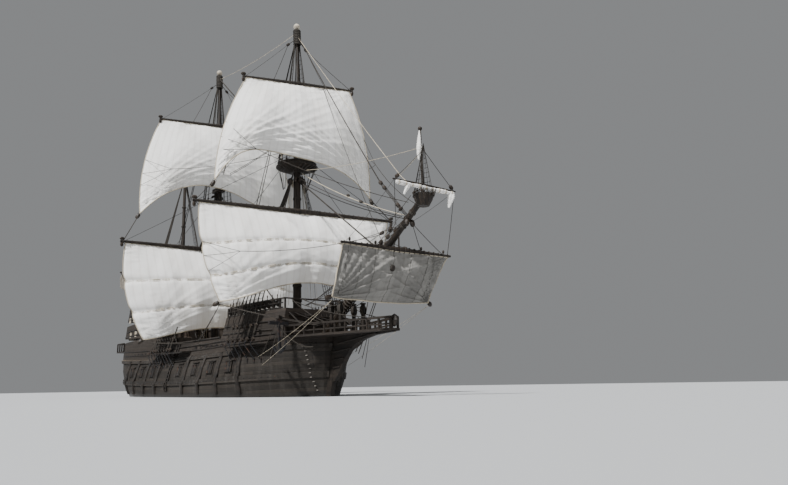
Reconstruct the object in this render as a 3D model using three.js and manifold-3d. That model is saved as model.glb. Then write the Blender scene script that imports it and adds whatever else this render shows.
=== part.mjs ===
// A three-masted galleon under sail, as a 1:10 model.
// Every size below is in metres of the full-size ship, and addPiece turns it into
// millimetres of the model. +X is the bow, +Y is port, +Z is up, and the origin is
// on the centreline amidships, at the waterline.
import * as THREE from 'three';
import { mergeVertices } from 'three/addons/utils/BufferGeometryUtils.js';
import Module from 'manifold-3d';

const wasm = await Module();
wasm.setup();

const metre = 100;          // one full-size metre at 1:10, in millimetres
const gap = 0.003;          // between two pieces that touch
const runningGap = 0.008;   // round a mast, inside a yard's parrel
const starboard = -1;
const port = 1;
const sides = [['stbd', starboard], ['port', port]];

// Hull form. Columns: height, stem x, length of entry, bluffness of the entry,
// stern x, length of run, half-breadth at the stern, greatest half-breadth.
const hullLevels = [
  [-3.05, 15.2, 11.5, 1.0, -17.30, 15, 0.20, 0.70],
  [-2.75, 15.7, 11.2, 1.0, -17.30, 15, 0.22, 2.60],
  [-2.00, 16.1, 11.0, 1.15, -17.35, 14, 0.25, 4.00],
  [-1.00, 16.5, 10.8, 1.25, -17.40, 13, 0.45, 4.75],
  [0.00, 16.85, 10.6, 1.35, -17.50, 11, 1.70, 5.05],
  [0.90, 17.1, 10.4, 1.55, -17.55, 9, 2.60, 5.05],
  [2.20, 17.35, 10.2, 1.75, -17.65, 8, 3.10, 4.78],
  [3.30, 17.6, 9.8, 1.95, -17.80, 8, 3.20, 4.35],
  [4.60, 17.7, 9.0, 2.2, -17.95, 8, 3.10, 3.95],
  [5.60, 17.5, 8.6, 2.3, -18.05, 8, 3.00, 3.72],
  [7.40, 17.3, 8.6, 2.3, -18.30, 8, 2.75, 3.40],
  [9.00, 17.1, 8.6, 2.3, -18.50, 8, 2.50, 3.10],
  [10.60, 16.9, 8.6, 2.3, -18.70, 8, 2.30, 2.85],
];
const stemHalf = 0.14;      // half the thickness of the stem
const sheerRise = 0.4;      // rise of the sheer at the ends
const sheerReach = 17;
const runStations = [0, 0.12, 0.26, 0.42, 0.6, 0.8, 1];
const midStations = [0.2, 0.4, 0.6, 0.8];
const entryAngles = [12, 26, 40, 52, 63, 73, 81, 86, 90];

const lowerWale = [0.95, 1.35];
const upperWale = [2.95, 3.27];
const waleProud = 0.12;
const deckEdge = 3.3;       // the hull's solid ends here, at the main deck
const waistRail = 4.55;
const bulwarkThickness = 0.2;

// Raised decks. Columns: node, underside, deck, top of bulwark, aft end, forward end
// of the block, aft end of the open deck, forward end of the open deck.
const raisedDecks = [
  ['half_deck', 3.3, 5.5, 6.6, -19, -6.2, -11.5, -6.0],
  ['quarter_deck', 5.5, 7.3, 8.4, -19, -11.5, -14.5, -11.3],
  ['poop_deck', 7.3, 9.0, 10.1, -19.3, -14.5, -18.35, -14.3],
];
const forecastle = { aft: 7.8, front: 15.2, deck: 5.6, wall: 5.95, slab: 4.1 };

// Masts. x is taken at the height datum; a mast leans aft by its rake above it.
const mastDatum = 4;
const masts = {
  fore: { x: 12.5, rake: 1.46, foot: 5.6, top: 17.95, head: 19.9, truck: 30.43,
    footRadius: 0.33, topRadius: 0.27, topmastRadius: 0.18, tipRadius: 0.1 },
  main: { x: -2.15, rake: 2.32, foot: 3.36, top: 17.5, head: 19.6, truck: 31.94,
    footRadius: 0.38, topRadius: 0.3, topmastRadius: 0.2, tipRadius: 0.1 },
  mizzen: { x: -10.41, rake: 2, foot: 5.5, top: 22.8, head: 24.4,
    footRadius: 0.26, tipRadius: 0.12 },
};

// Square yards. brace is how far the starboard arm is swung aft of square.
const yards = {
  fore: { z: 14.2, half: 8.31, brace: 9.8, radius: 0.2, tip: 0.1, upper: false },
  foreTop: { z: 25.05, half: 4.6, brace: 17.7, radius: 0.14, tip: 0.07, upper: true },
  main: { z: 13.41, half: 8.95, brace: 3.5, radius: 0.22, tip: 0.11, upper: false },
  mainTop: { z: 25.99, half: 5.7, brace: 15.4, radius: 0.15, tip: 0.08, upper: true },
};

const bowsprit = { heel: [15.0, 0, 3.38], end: [27.05, 0, 11.88], heelRadius: 0.32, endRadius: 0.2 };
const spritTop = { z: 11.95, radius: 0.68 };
const spritTopmast = { x: 27.42, z: 12.45, lean: 2.2, truck: 16.68, radius: 0.11, tip: 0.06 };
const spritsailYard = { x: 24.93, z: 9.22, half: 4.48, radius: 0.15, tip: 0.08 };
const spritTopsailYard = { z: 12.85, half: 2.57, radius: 0.08, tip: 0.045 };

// Sails. Pairs run starboard then port: clews are the lower corners, and leech is how far
// each side curve stands out. arch lifts the foot, more to starboard by its lean, with the two
// powers of its curve, and belly is how far the cloth swells forward.
const sailThickness = 0.06;
const sails = {
  fore_course: { yard: 'fore', headReach: 0.94, belly: 1.7, deepest: 0.62, arch: 1.05, lean: 0,
    curve: [2, 2], leech: [0.5, 0.3], clews: [[12.45, -6.4, 6.75], [13.6, 6.0, 7.9]] },
  fore_topsail: { yard: 'foreTop', headReach: 0.93, belly: 1.5, deepest: 0.6, arch: 2.4, lean: -0.3,
    curve: [4, 1], leech: [0.55, 0.55], clews: [[11.9, -6.85, 15.85], [14.1, 5.8, 15.85]] },
  main_course: { yard: 'main', headReach: 0.95, belly: 1.9, deepest: 0.62, arch: 1.15, lean: 0,
    curve: [2, 1.5], leech: [0.75, 0.5], clews: [[-2.0, -6.69, 4.9], [-1.2, 6.7, 4.9]] },
  main_topsail: { yard: 'mainTop', headReach: 0.97, belly: 1.5, deepest: 0.6, arch: 3.1, lean: -0.35,
    curve: [2, 1], leech: [0.6, 0.5], clews: [[-2.6, -7.38, 16.17], [-1.6, 7.3, 16.17]] },
};
const spritsail = { headReach: 0.96, belly: 0.5, deepest: 0.6, arch: -0.2, lean: 0,
  curve: [2, 1], leech: [0, 0], clews: [[24.3, -4.7, 5.95], [23.9, 3.3, 6.1]] };
const sailColumns = 14;
const sailRows = 10;

// Gunports on each side: the x of each centre.
const portCentres = [-9.9, -7.2, -4.4, 1.6, 4.7, 7.7, 10.3];
const gunport = { z: 2.1, size: 0.66, depth: 0.3, lid: 0.78, lidThickness: 0.12, knuckle: 0.05, sink: 0.01 };

const wood = { tarred: '#2e241d', oiled: '#5a4330', deck: '#8a7659', spar: '#4a3728' };
const canvas = '#e6e0d2';
const iron = '#26282a';

const v = (x, y, z) => new THREE.Vector3(x, y, z);
const lerp = THREE.MathUtils.lerp;
const degrees = THREE.MathUtils.degToRad;
const galleon = new THREE.Group();
const hinges = {};          // the line that each moving piece turns about

// A closed body from a list of loops of equal length, capped at both ends.
function loft(loops) {
  const count = loops[0].length;
  const position = loops.flat().flatMap((p) => [p.x, p.y, p.z]);
  const index = [];
  for (let k = 0; k + 1 < loops.length; k++) {
    for (let i = 0; i < count; i++) {
      const a = k * count + i;
      const b = k * count + (i + 1) % count;
      index.push(a, b, b + count, a, b + count, a + count);
    }
  }
  const last = (loops.length - 1) * count;
  for (let i = 0; i + 1 < count / 2; i++) {
    const [a, b, c, d] = [i, i + 1, count - 2 - i, count - 1 - i];
    index.push(a, c, b, a, d, c);
    index.push(last + a, last + b, last + c, last + a, last + c, last + d);
  }
  const geometry = new THREE.BufferGeometry();
  geometry.setAttribute('position', new THREE.Float32BufferAttribute(position, 3));
  geometry.setIndex(index);
  return toSolid(geometry);
}

function signedVolume(position, index) {
  let sum = 0;
  const [a, b, c] = [v(), v(), v()];
  for (let i = 0; i < index.length; i += 3) {
    a.fromArray(position, index[i] * 3);
    b.fromArray(position, index[i + 1] * 3);
    c.fromArray(position, index[i + 2] * 3);
    sum += a.dot(b.cross(c));
  }
  return sum;
}

function toSolid(geometry) {
  const bare = geometry.clone();
  bare.deleteAttribute('normal');
  bare.deleteAttribute('uv');
  const merged = mergeVertices(bare, 1e-5);
  const vertProperties = new Float32Array(merged.attributes.position.array);
  const triVerts = new Uint32Array(merged.index.array);
  if (signedVolume(vertProperties, triVerts) < 0) {
    for (let i = 0; i < triVerts.length; i += 3) {
      [triVerts[i], triVerts[i + 1]] = [triVerts[i + 1], triVerts[i]];
    }
  }
  return new wasm.Manifold(new wasm.Mesh({ numProp: 3, vertProperties, triVerts }));
}

const join = (...solids) => solids.flat().reduce((sum, solid) => sum.add(solid));

function addPiece(name, solid, color, roughness = 0.7, metalness = 0) {
  const mesh = solid.getMesh();
  const geometry = new THREE.BufferGeometry();
  geometry.setAttribute('position', new THREE.Float32BufferAttribute(mesh.vertProperties, 3));
  geometry.setIndex([...mesh.triVerts]);
  geometry.scale(metre, metre, metre);
  geometry.computeVertexNormals();
  const piece = new THREE.Mesh(geometry, new THREE.MeshStandardMaterial({ color, roughness, metalness }));
  piece.name = name;
  galleon.add(piece);
}

function box(x0, x1, y0, y1, z0, z1) {
  const ring = (z) => [v(x0, y0, z), v(x1, y0, z), v(x1, y1, z), v(x0, y1, z)];
  return loft([ring(z0), ring(z1)]);
}

// A square bar from p to q; its depth is measured upwards, its width across.
function bar(p, q, width, depth) {
  const along = q.clone().sub(p).normalize();
  const guide = Math.abs(along.z) > 0.99 ? v(0, 1, 0) : v(0, 0, 1);
  const across = along.clone().cross(guide).normalize().multiplyScalar(width / 2);
  const up = across.clone().cross(along).normalize().multiplyScalar(depth / 2);
  const ring = (c) => [[-1, -1], [1, -1], [1, 1], [-1, 1]]
    .map(([a, b]) => c.clone().addScaledVector(across, a).addScaledVector(up, b));
  return loft([ring(p), ring(q)]);
}

// A round spar from p to q. profile lists [share of the length, radius].
function spar(p, q, profile, count = 12) {
  const along = q.clone().sub(p);
  const turn = new THREE.Quaternion().setFromUnitVectors(v(0, 0, 1), along.clone().normalize());
  const loops = profile.map(([share, radius]) => Array.from({ length: count }, (_, i) => {
    const angle = 2 * Math.PI * i / count;
    return v(radius * Math.cos(angle), radius * Math.sin(angle), 0)
      .applyQuaternion(turn).addScaledVector(along, share).add(p);
  }));
  return loft(loops);
}

// A turned piece: a closed outline of [radius, height] spun about the line from p along axis.
function turned(p, axis, outline, count = 12) {
  const profile = [...outline, outline[0]].map(([r, z]) => new THREE.Vector2(r, z));
  const geometry = new THREE.LatheGeometry(profile, count);
  geometry.rotateX(Math.PI / 2);
  geometry.rotateZ(Math.PI / 2);
  geometry.applyQuaternion(new THREE.Quaternion().setFromUnitVectors(v(0, 0, 1), axis.clone().normalize()));
  geometry.translate(p.x, p.y, p.z);
  return toSolid(geometry);
}

// A flat plate with an outline of [x, z] points, centred on y.
function plateXZ(outline, thickness, y = 0) {
  const shape = new THREE.Shape(outline.map(([x, z]) => new THREE.Vector2(x, z)));
  const geometry = new THREE.ExtrudeGeometry(shape, { depth: thickness, bevelEnabled: false });
  geometry.rotateX(Math.PI / 2);
  geometry.translate(0, y + thickness / 2, 0);
  return toSolid(geometry);
}

// The hull's figures at any height, read between the rows of the table.
function levelAt(z) {
  const top = Math.max(1, hullLevels.findIndex((row) => row[0] >= z));
  const [low, high] = [hullLevels[top - 1], hullLevels[top]];
  const share = THREE.MathUtils.clamp((z - low[0]) / (high[0] - low[0]), 0, 1);
  const [, stem, entry, bluff, stern, run, sternHalf, maxHalf] = low.map((n, i) => lerp(n, high[i], share));
  return { stem, entry, bluff, stern, run, sternHalf, maxHalf };
}

function halfAt(x, z) {
  const f = levelAt(z);
  const ahead = THREE.MathUtils.clamp((x - f.stem + f.entry) / f.entry, 0, 1);
  const behind = THREE.MathUtils.clamp((f.stern + f.run - x) / f.run, 0, 1);
  const aft = lerp(f.maxHalf, f.sternHalf, behind * behind);
  return Math.max(stemHalf, aft * (1 - ahead * ahead) ** (1 / f.bluff));
}

const sheerAt = (x, z) => sheerRise * (x / sheerReach) ** 2 * THREE.MathUtils.clamp(z, 0, 1);

// One waterline of the hull as a closed loop, moved outwards by grow.
function waterline(z, grow = 0) {
  const f = levelAt(z);
  const xs = [
    ...runStations.map((share) => f.stern + share * f.run),
    ...midStations.map((share) => lerp(f.stern + f.run, f.stem - f.entry, share)),
    ...[0, ...entryAngles].map((angle) => f.stem - f.entry + f.entry * Math.sin(degrees(angle))),
  ];
  const half = (side) => xs.map((x, i) => {
    const end = (i === 0 ? -grow : 0) + (i === xs.length - 1 ? grow : 0);
    return v(x + end, side * (halfAt(x, z) + grow), z + sheerAt(x, z));
  });
  return [...half(starboard), ...half(port).reverse()];
}

const hullForm = (levels, grow = 0) => loft(levels.map((z) => waterline(z, grow)));
const formLevels = hullLevels.map((row) => row[0]);
const levelsBetween = (low, high) => [low, ...formLevels.filter((z) => z > low + 0.01 && z < high - 0.01), high];

const mastPoint = (mast, z) => v(mast.x - Math.tan(degrees(mast.rake)) * (z - mastDatum), 0, z);
const mastAxis = (mast) => v(-Math.sin(degrees(mast.rake)), 0, Math.cos(degrees(mast.rake)));
const spacing = { fore: 0.5, main: 0.56 };    // lower mast to topmast at the top, centre to centre

// A topmast starts ahead of its lower mast and leans back to the same line at its truck.
function topmastPoint(kind, z) {
  const mast = masts[kind];
  const share = (z - mast.top) / (mast.truck - mast.top);
  return mastPoint(mast, z).add(v(lerp(spacing[kind], 0, share), 0, 0));
}

const topmastAxis = (kind) => topmastPoint(kind, masts[kind].truck)
  .sub(topmastPoint(kind, masts[kind].top)).normalize();

function topmastRadiusAt(kind, z) {
  const mast = masts[kind];
  return lerp(mast.topmastRadius, mast.tipRadius, (z - mast.top) / (mast.truck - mast.top));
}

const lowerRadiusAt = (mast, z) => lerp(mast.footRadius, mast.topRadius, (z - mast.foot) / (mast.top - mast.foot));

// Where a square yard lies: the centre of its spar, its mast's centre and its directions.
function yardFrame(name) {
  const yard = yards[name];
  const kind = name.startsWith('fore') ? 'fore' : 'main';
  const mastCentre = yard.upper ? topmastPoint(kind, yard.z) : mastPoint(masts[kind], yard.z);
  const mastRadius = yard.upper ? topmastRadiusAt(kind, yard.z) : lowerRadiusAt(masts[kind], yard.z);
  const brace = degrees(yard.brace);
  const ahead = v(Math.cos(brace), -Math.sin(brace), 0);
  const along = v(Math.sin(brace), Math.cos(brace), 0);
  const centre = mastCentre.clone().addScaledVector(ahead, mastRadius + yard.radius + 0.06);
  const axis = yard.upper ? topmastAxis(kind) : mastAxis(masts[kind]);
  return { yard, kind, mastCentre, mastRadius, ahead, along, centre, axis };
}

// The hull up to its deck edge, with both wales, moved outwards by grow.
function hullBody(grow = 0) {
  const step = 0.015;
  const rows = [];
  for (const z of levelsBetween(formLevels[0], deckEdge)) {
    rows.push([z, 0]);
  }
  for (const [low, high] of [lowerWale, upperWale]) {
    rows.push([low - step, 0], [low, waleProud], [high, waleProud], [high + step, 0]);
  }
  const levels = rows.filter(([z]) => z <= deckEdge).sort((a, b) => a[0] - b[0]);
  return loft(levels.map(([z, proud]) => waterline(z, proud + grow)));
}

function buildHull() {
  let hull = hullBody();
  const half = gunport.size / 2;
  for (const place of gunportPlaces()) {
    hull = hull.subtract(orient(place, box(-half, half, -gunport.depth, gunport.depth, -half, half)));
  }
  addPiece('hull', hull.subtract(bowspritSpar(gap)), wood.tarred);
}

// Each gunport: how its lid's plane stands off the skin, as turns about X and Z, and where.
// They are worked out on the port side, and mirrored for starboard.
function gunportPlaces() {
  return sides.flatMap(([word, side]) => portCentres.map((x, number) => {
    const reach = gunport.lid / 2;
    const z = gunport.z + sheerAt(x, 1);
    const skin = (a, b) => v(x + a * reach, halfAt(x + a * reach, gunport.z + b * reach), z + b * reach);
    const yaw = Math.atan2(skin(1, 0).y - skin(-1, 0).y, 2 * reach);
    const pitch = -Math.atan2(skin(0, 1).y - skin(0, -1).y, 2 * reach);
    const turn = new THREE.Quaternion().setFromEuler(new THREE.Euler(pitch, 0, yaw, 'ZYX'));
    const outwards = v(0, 1, 0).applyQuaternion(turn);
    const middle = skin(0, 0);
    const corners = [-1, 1].flatMap((a) => [-1, 1].map((b) => skin(a, b).sub(middle).dot(outwards)));
    middle.addScaledVector(outwards, Math.min(...corners) - gunport.sink);
    return { word, side, number, yaw, pitch, turn, middle };
  }));
}

// Turns a solid drawn with +Y outwards to face out at a gunport.
function orient(place, solid) {
  const turned = solid.rotate([THREE.MathUtils.radToDeg(place.pitch), 0, THREE.MathUtils.radToDeg(place.yaw)])
    .translate(place.middle.toArray());
  return place.side === port ? turned : turned.mirror([0, 1, 0]);
}

function buildGunportLids() {
  const half = gunport.lid / 2;
  const out = gunport.lidThickness;
  const skin = hullBody(gap);
  for (const place of gunportPlaces()) {
    const lid = box(-half, half, 0, out, -half, half);
    const hinge = spar(v(-half, out, half), v(half, out, half), [[0, gunport.knuckle], [1, gunport.knuckle]], 10);
    const node = `gunport_lid_${place.word}_${place.number + 1}`;
    addPiece(node, largest(orient(place, lid.add(hinge)).subtract(skin)), wood.tarred);
    const mirror = v(1, place.side, 1);
    const point = v(0, out, half).applyQuaternion(place.turn).add(place.middle);
    hinges[node] = { point: point.multiply(mirror), axis: v(1, 0, 0).applyQuaternion(place.turn).multiply(mirror) };
  }
}

const sternpost = { foot: [-17.55, -3.35], head: [-18.16, 3.2] };   // its after face, as [x, z]

function buildKeel() {
  const outline = [sternpost.head, sternpost.foot, [13.2, -3.35], [15.2, -3.1], [16.3, -2.4],
    [16.95, -1.2], [17.3, 0], [17.62, 1.4], [17.95, 3.2], [15.5, 3.0], [14.5, -2.4], [-16.5, -2.4], [-16.9, 3.0]];
  const cut = hullForm(levelsBetween(-3.05, 3.6), gap).add(walesForm());
  addPiece('keel', largest(plateXZ(outline, 0.36).subtract(cut)), wood.tarred);
}

const walesForm = () => join([lowerWale, upperWale].map(([low, high]) => hullForm([low - 0.02, high + 0.02],
  waleProud + gap)));

// Keeps the biggest of the bodies that a cut leaves.
function largest(solid) {
  return solid.decompose().sort((a, b) => b.volume() - a.volume())[0];
}

function buildHeadKnee() {
  const outline = [[17.0, 0.9], [17.9, 1.1], [18.6, 1.9], [19.15, 2.6], [19.6, 3.05], [20.3, 3.45], [21.2, 3.76],
    [22.3, 3.95], [23.3, 4.0], [24.3, 4.04], [24.3, 4.09], [17.0, 4.09]];
  const keelSide = plateXZ([[15, 0], [17.3 + gap, 0], [17.62 + gap, 1.4], [17.95 + gap, 3.2],
    [17.95 + gap, 3.2 + gap], [15, 3.2 + gap]], 2);
  const block = join(hullForm(levelsBetween(-3.05, deckEdge), gap), walesForm(), keelSide,
    hullForm([deckEdge, forecastle.slab + 0.3], gap));
  addPiece('head_knee', largest(plateXZ(outline, 0.34).subtract(block)), wood.tarred);
}

function bowspritSpar(grow) {
  const [heel, end] = [v(...bowsprit.heel), v(...bowsprit.end)];
  const along = end.clone().sub(heel).normalize();
  return spar(heel.addScaledVector(along, -grow), end.addScaledVector(along, grow),
    [[0, bowsprit.heelRadius + grow], [1, bowsprit.endRadius + grow]]);
}

// The head: a pointed grating deck with a rail and balusters along both sides.
function buildBeakhead() {
  const [aft, tip] = [forecastle.front + gap, 24.4];
  const [low, high] = [forecastle.slab + gap, forecastle.slab + 0.16];
  const [aftHalf, tipHalf] = [2.75, 0.4];
  const deckRing = (z) => [v(aft, -aftHalf, z), v(tip, -tipHalf, z), v(tip, tipHalf, z), v(aft, aftHalf, z)];
  const pieces = [loft([deckRing(low), deckRing(high)])];
  const railHeight = 0.86;
  const balusters = 10;
  for (const [, side] of sides) {
    const at = (share, z) => v(lerp(aft + 0.08, tip - 0.08, share), side * lerp(aftHalf - 0.1, tipHalf - 0.1, share), z);
    pieces.push(bar(at(0, low + railHeight), at(1, low + railHeight), 0.14, 0.14));
    pieces.push(bar(at(0, low + railHeight / 2), at(1, low + railHeight / 2), 0.08, 0.1));
    for (let i = 0; i <= balusters; i++) {
      pieces.push(bar(at(i / balusters, low + 0.08), at(i / balusters, low + railHeight), 0.12, 0.12));
    }
  }
  pieces.push(bar(v(tip - 0.08, -tipHalf + 0.1, low + railHeight), v(tip - 0.08, tipHalf - 0.1, low + railHeight),
    0.14, 0.14));
  addPiece('beakhead', join(pieces).subtract(bowspritSpar(gap)), wood.tarred);
}

// A block of the upper works: solid to its deck, with bulwarks round the open deck.
function raisedBlock(low, deck, top, aft, front, openAft, openFront) {
  const outer = hullForm(levelsBetween(low + gap, top), 0);
  const inner = hullForm([deck - 0.6, ...levelsBetween(deck, top + 1)], -bulwarkThickness);
  const well = inner.intersect(box(openAft, openFront, -9, 9, deck, top + 2));
  return outer.intersect(box(aft, front, -9, 9, low - 2, top + 2)).subtract(well);
}

function buildUpperWorks() {
  for (const [name, low, deck, top, aft, front, openAft, openFront] of raisedDecks) {
    let block = raisedBlock(low, deck, top, aft, front, openAft, openFront);
    const next = raisedDecks.find((row) => row[1] === deck);
    if (next) {
      block = block.subtract(box(-30, next[5] + gap, -9, 9, deck, 20));
    }
    addPiece(name, name === 'poop_deck' ? block.add(ensignStaff()) : block, wood.oiled);
  }
  let block = raisedBlock(deckEdge, forecastle.deck, forecastle.wall, forecastle.aft, 19, forecastle.aft - 0.1,
    forecastle.front - bulwarkThickness);
  block = block.subtract(box(forecastle.front, 20, -9, 9, forecastle.slab, 12)).subtract(bowspritSpar(gap));
  block = join(block, catheadBeam(port), catheadBeam(starboard));
  addPiece('forecastle', block, wood.oiled);
}

// The lattice rail round the forecastle, as posts and a top rail along the wall.
function buildForecastleRail() {
  const height = 0.78;
  const stations = [7.95, 9.05, 10.15, 11.2, 12.2, 13.15, 14.0, 14.65, 15.05];
  const inset = 0.1;
  const at = (x, side, z) => v(x, side * (halfAt(x, forecastle.wall) - inset), z + sheerAt(x, 1));
  const pieces = [];
  const base = forecastle.wall - 0.05;
  for (const [, side] of sides) {
    stations.forEach((x, i) => {
      const foot = at(x, side, base);
      const head = at(x, side, base + height);
      pieces.push(bar(foot, head, 0.1, 0.1));
      if (i > 0) {
        const before = at(stations[i - 1], side, base + height);
        pieces.push(bar(before, head, 0.12, 0.1));
      }
    });
  }
  const front = stations.at(-1);
  pieces.push(bar(at(front, starboard, base + height), at(front, port, base + height), 0.12, 0.1));
  const wall = hullForm([deckEdge, forecastle.wall + gap], 0.5);
  addPiece('forecastle_rail', join(pieces).subtract(wall), wood.oiled);
}

function buildWaistBulwarks() {
  const outer = hullForm(levelsBetween(deckEdge + gap, waistRail));
  const inner = hullForm([deckEdge - 0.3, deckEdge, ...levelsBetween(deckEdge + gap, waistRail + 1)],
    -bulwarkThickness);
  const [aft, front] = [raisedDecks[0][5] + gap, forecastle.aft - gap];
  for (const [word, side] of sides) {
    const reach = side * 9;
    const half = box(aft, front, Math.min(0, reach), Math.max(0, reach), 2, 9);
    addPiece(`waist_bulwark_${word}`, outer.subtract(inner).intersect(half), wood.oiled);
  }
}

// Channels: the planks that spread the shrouds. Columns: name, aft end, forward end, height.
const channels = [['fore', 10.2, 14.8, 3.45], ['main', -5.2, 2.6, 3.6]];
const channelReach = 0.8;
const channelThickness = 0.12;

function channelBody([, aft, front, height], side, grow = 0) {
  const stations = 6;
  return loft(Array.from({ length: stations }, (_, i) => {
    const x = lerp(aft, front, i / (stations - 1));
    const low = height + sheerAt(x, 1) - grow;
    const high = low + channelThickness + 2 * grow;
    const near = side * (halfAt(x, height) - 0.3);
    const far = side * (halfAt(x, height) + channelReach);
    return [v(x, near, low), v(x, far, low), v(x, far, high), v(x, near, high)];
  }));
}

function buildChannels() {
  const skin = hullForm(levelsBetween(deckEdge - 0.1, waistRail + 1), gap);
  for (const channel of channels) {
    for (const [word, side] of sides) {
      addPiece(`${channel[0]}_channel_${word}`, channelBody(channel, side).subtract(skin), wood.tarred);
    }
  }
}

function buildSternGallery() {
  const face = -17.6;
  const [reach, half, floor, height] = [2.15, 3.3, 4.55, 1.0];
  const pieces = [box(face - reach, face, -half, half, floor, floor + 0.14)];
  const post = 0.12;
  const rail = floor + height;
  const corners = [[face, half], [face - reach, half], [face - reach, -half], [face, -half]];
  for (let i = 0; i < 3; i++) {
    const [[x0, y0], [x1, y1]] = [corners[i], corners[i + 1]];
    const inX = (x) => Math.min(Math.max(x, face - reach + post / 2), face - post / 2);
    const inY = (y) => Math.sign(y) * (half - post / 2);
    const [p, q] = [[inX(x0), inY(y0)], [inX(x1), inY(y1)]];
    const count = i === 1 ? 10 : 3;
    pieces.push(bar(v(...p, rail - 0.05), v(...q, rail - 0.05), post, 0.1));
    for (let k = 0; k <= count; k++) {
      const [x, y] = [lerp(p[0], q[0], k / count), lerp(p[1], q[1], k / count)];
      pieces.push(bar(v(x, y, floor + 0.07), v(x, y, rail - 0.05), post, post));
    }
  }
  for (const y of [-2.6, -1.2, 1.2, 2.6]) {
    pieces.push(plateXZ([[face, floor + 0.05], [face, floor - 0.7], [face - reach * 0.9, floor + 0.05]], 0.16, y));
  }
  const upper = hullForm(levelsBetween(deckEdge, 9), gap);
  addPiece('stern_gallery', largest(join(pieces).subtract(upper).subtract(hullBody(gap))), wood.tarred);
}

// Cuts a leaning spar off level, just above the deck that it stands on.
function standOn(solid, x, deck) {
  return solid.subtract(box(x - 2, x + 2, -2, 2, deck - 3, deck + gap));
}

function buildLowerMast(kind, grow = 0) {
  const mast = masts[kind];
  const foot = mastPoint(mast, mast.foot - 0.1);
  const head = mastPoint(mast, mast.head);
  const share = (mast.top - mast.foot) / (mast.head - mast.foot);
  return spar(foot, head, [[0, mast.footRadius + grow], [share, mast.topRadius + grow], [1, mast.topRadius + grow]]);
}

function buildTopmast(kind, grow = 0) {
  const mast = masts[kind];
  const floorRise = (spacing[kind] + mast.topmastRadius) * Math.tan(degrees(mast.rake));
  const heel = topmastPoint(kind, mast.top + topFloor + floorRise + gap);
  const tip = topmastPoint(kind, mast.truck - 0.2);
  const pole = spar(heel, tip, [[0, mast.topmastRadius + grow], [1, mast.tipRadius + grow]]);
  const ball = new THREE.SphereGeometry(0.26, 12, 8);
  ball.translate(...topmastPoint(kind, mast.truck).toArray());
  return pole.add(toSolid(ball));
}

const topFloor = 0.05;      // the planked floor of a top, above its middle

// A round top: a flat dish of planks on a cone of brackets, with a low rim that leans in.
function topOutline(hole, radius) {
  return [[hole, -0.45], [hole + 0.4, -0.45], [radius, 0], [radius - 0.1, 0.24], [radius - 0.22, 0.24],
    [radius - 0.3, topFloor], [hole, topFloor]];
}

const topRadii = { fore: 1.63, main: 1.5, mizzen: 0.9 };

function buildMasts() {
  for (const kind of ['fore', 'main']) {
    const mast = masts[kind];
    const capAt = mastPoint(mast, mast.head - 0.2);
    const cap = box(capAt.x - 0.4, capAt.x + spacing[kind] + 0.4, -0.36, 0.36, mast.head - 0.4, mast.head);
    const lower = standOn(buildLowerMast(kind), mast.x, mast.foot).add(cap).subtract(buildTopmast(kind, gap));
    addPiece(`${kind}mast`, lower, wood.spar);
    const centre = mastPoint(mast, mast.top);
    const dish = turned(centre, mastAxis(mast), topOutline(0.1, topRadii[kind]), 16);
    addPiece(`${kind}_top`, dish.subtract(buildLowerMast(kind, gap)), wood.spar);
    addPiece(`${kind}_topmast`, buildTopmast(kind), wood.spar);
  }
  const mizzen = masts.mizzen;
  const pole = standOn(spar(mastPoint(mizzen, mizzen.foot - 0.1), mastPoint(mizzen, mizzen.head),
    [[0, mizzen.footRadius], [1, mizzen.tipRadius]]), mizzen.x, mizzen.foot);
  const dish = turned(mastPoint(mizzen, mizzen.top), mastAxis(mizzen), topOutline(0.08, topRadii.mizzen), 12);
  addPiece('mizzenmast', pole.add(dish), wood.spar);
}

const parrelSides = 16;

// The corner radius of a parrel's bore, whose flats clear a turning mast by the running gap.
const parrelBore = (mastRadius, count) => (mastRadius + runningGap) / Math.cos(Math.PI / count);

function buildYard(name, node) {
  const { yard, mastCentre, mastRadius, along, centre, axis } = yardFrame(name);
  const end = (sign) => centre.clone().addScaledVector(along, sign * yard.half);
  const pole = spar(end(-1), end(1), [[0, yard.tip], [0.5, yard.radius], [1, yard.tip]]);
  const parrelHalf = 0.22;
  const inner = parrelBore(mastRadius, parrelSides);
  const parrel = turned(mastCentre, axis, [[inner, -parrelHalf], [inner + 0.14, -parrelHalf],
    [inner + 0.14, parrelHalf], [inner, parrelHalf]], parrelSides);
  const bore = spar(mastCentre.clone().addScaledVector(axis, -1), mastCentre.clone().addScaledVector(axis, 1),
    [[0, inner], [1, inner]], parrelSides);
  addPiece(node, pole.subtract(bore).add(parrel), wood.spar);
  hinges[node] = { point: mastCentre, axis };
}

// A sail's surface: across runs from -1 at starboard to 1 at port, down from 0 to 1.
function sailPoint(cloth, across, down, lift) {
  const share = (across + 1) / 2;
  const head = cloth.head[0].clone().lerp(cloth.head[1], share);
  head.z -= lerp(cloth.spar.radius, cloth.spar.tip, Math.abs(across) * cloth.headReach) + gap;
  const foot = cloth.foot[0].clone().lerp(cloth.foot[1], share);
  const [power, outer] = cloth.curve;
  foot.z += cloth.arch * (1 - Math.abs(across) ** power) ** outer * (1 + cloth.lean * across);
  const swell = cloth.belly * (1 - across ** 4) * (1 - ((down - cloth.deepest) / cloth.deepest) ** 2);
  const bulge = cloth.leech[across < 0 ? 0 : 1] * across ** 3 * 4 * down * (1 - down);
  return head.lerp(foot, down).addScaledVector(cloth.ahead, swell + lift).addScaledVector(cloth.along, bulge);
}

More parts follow.
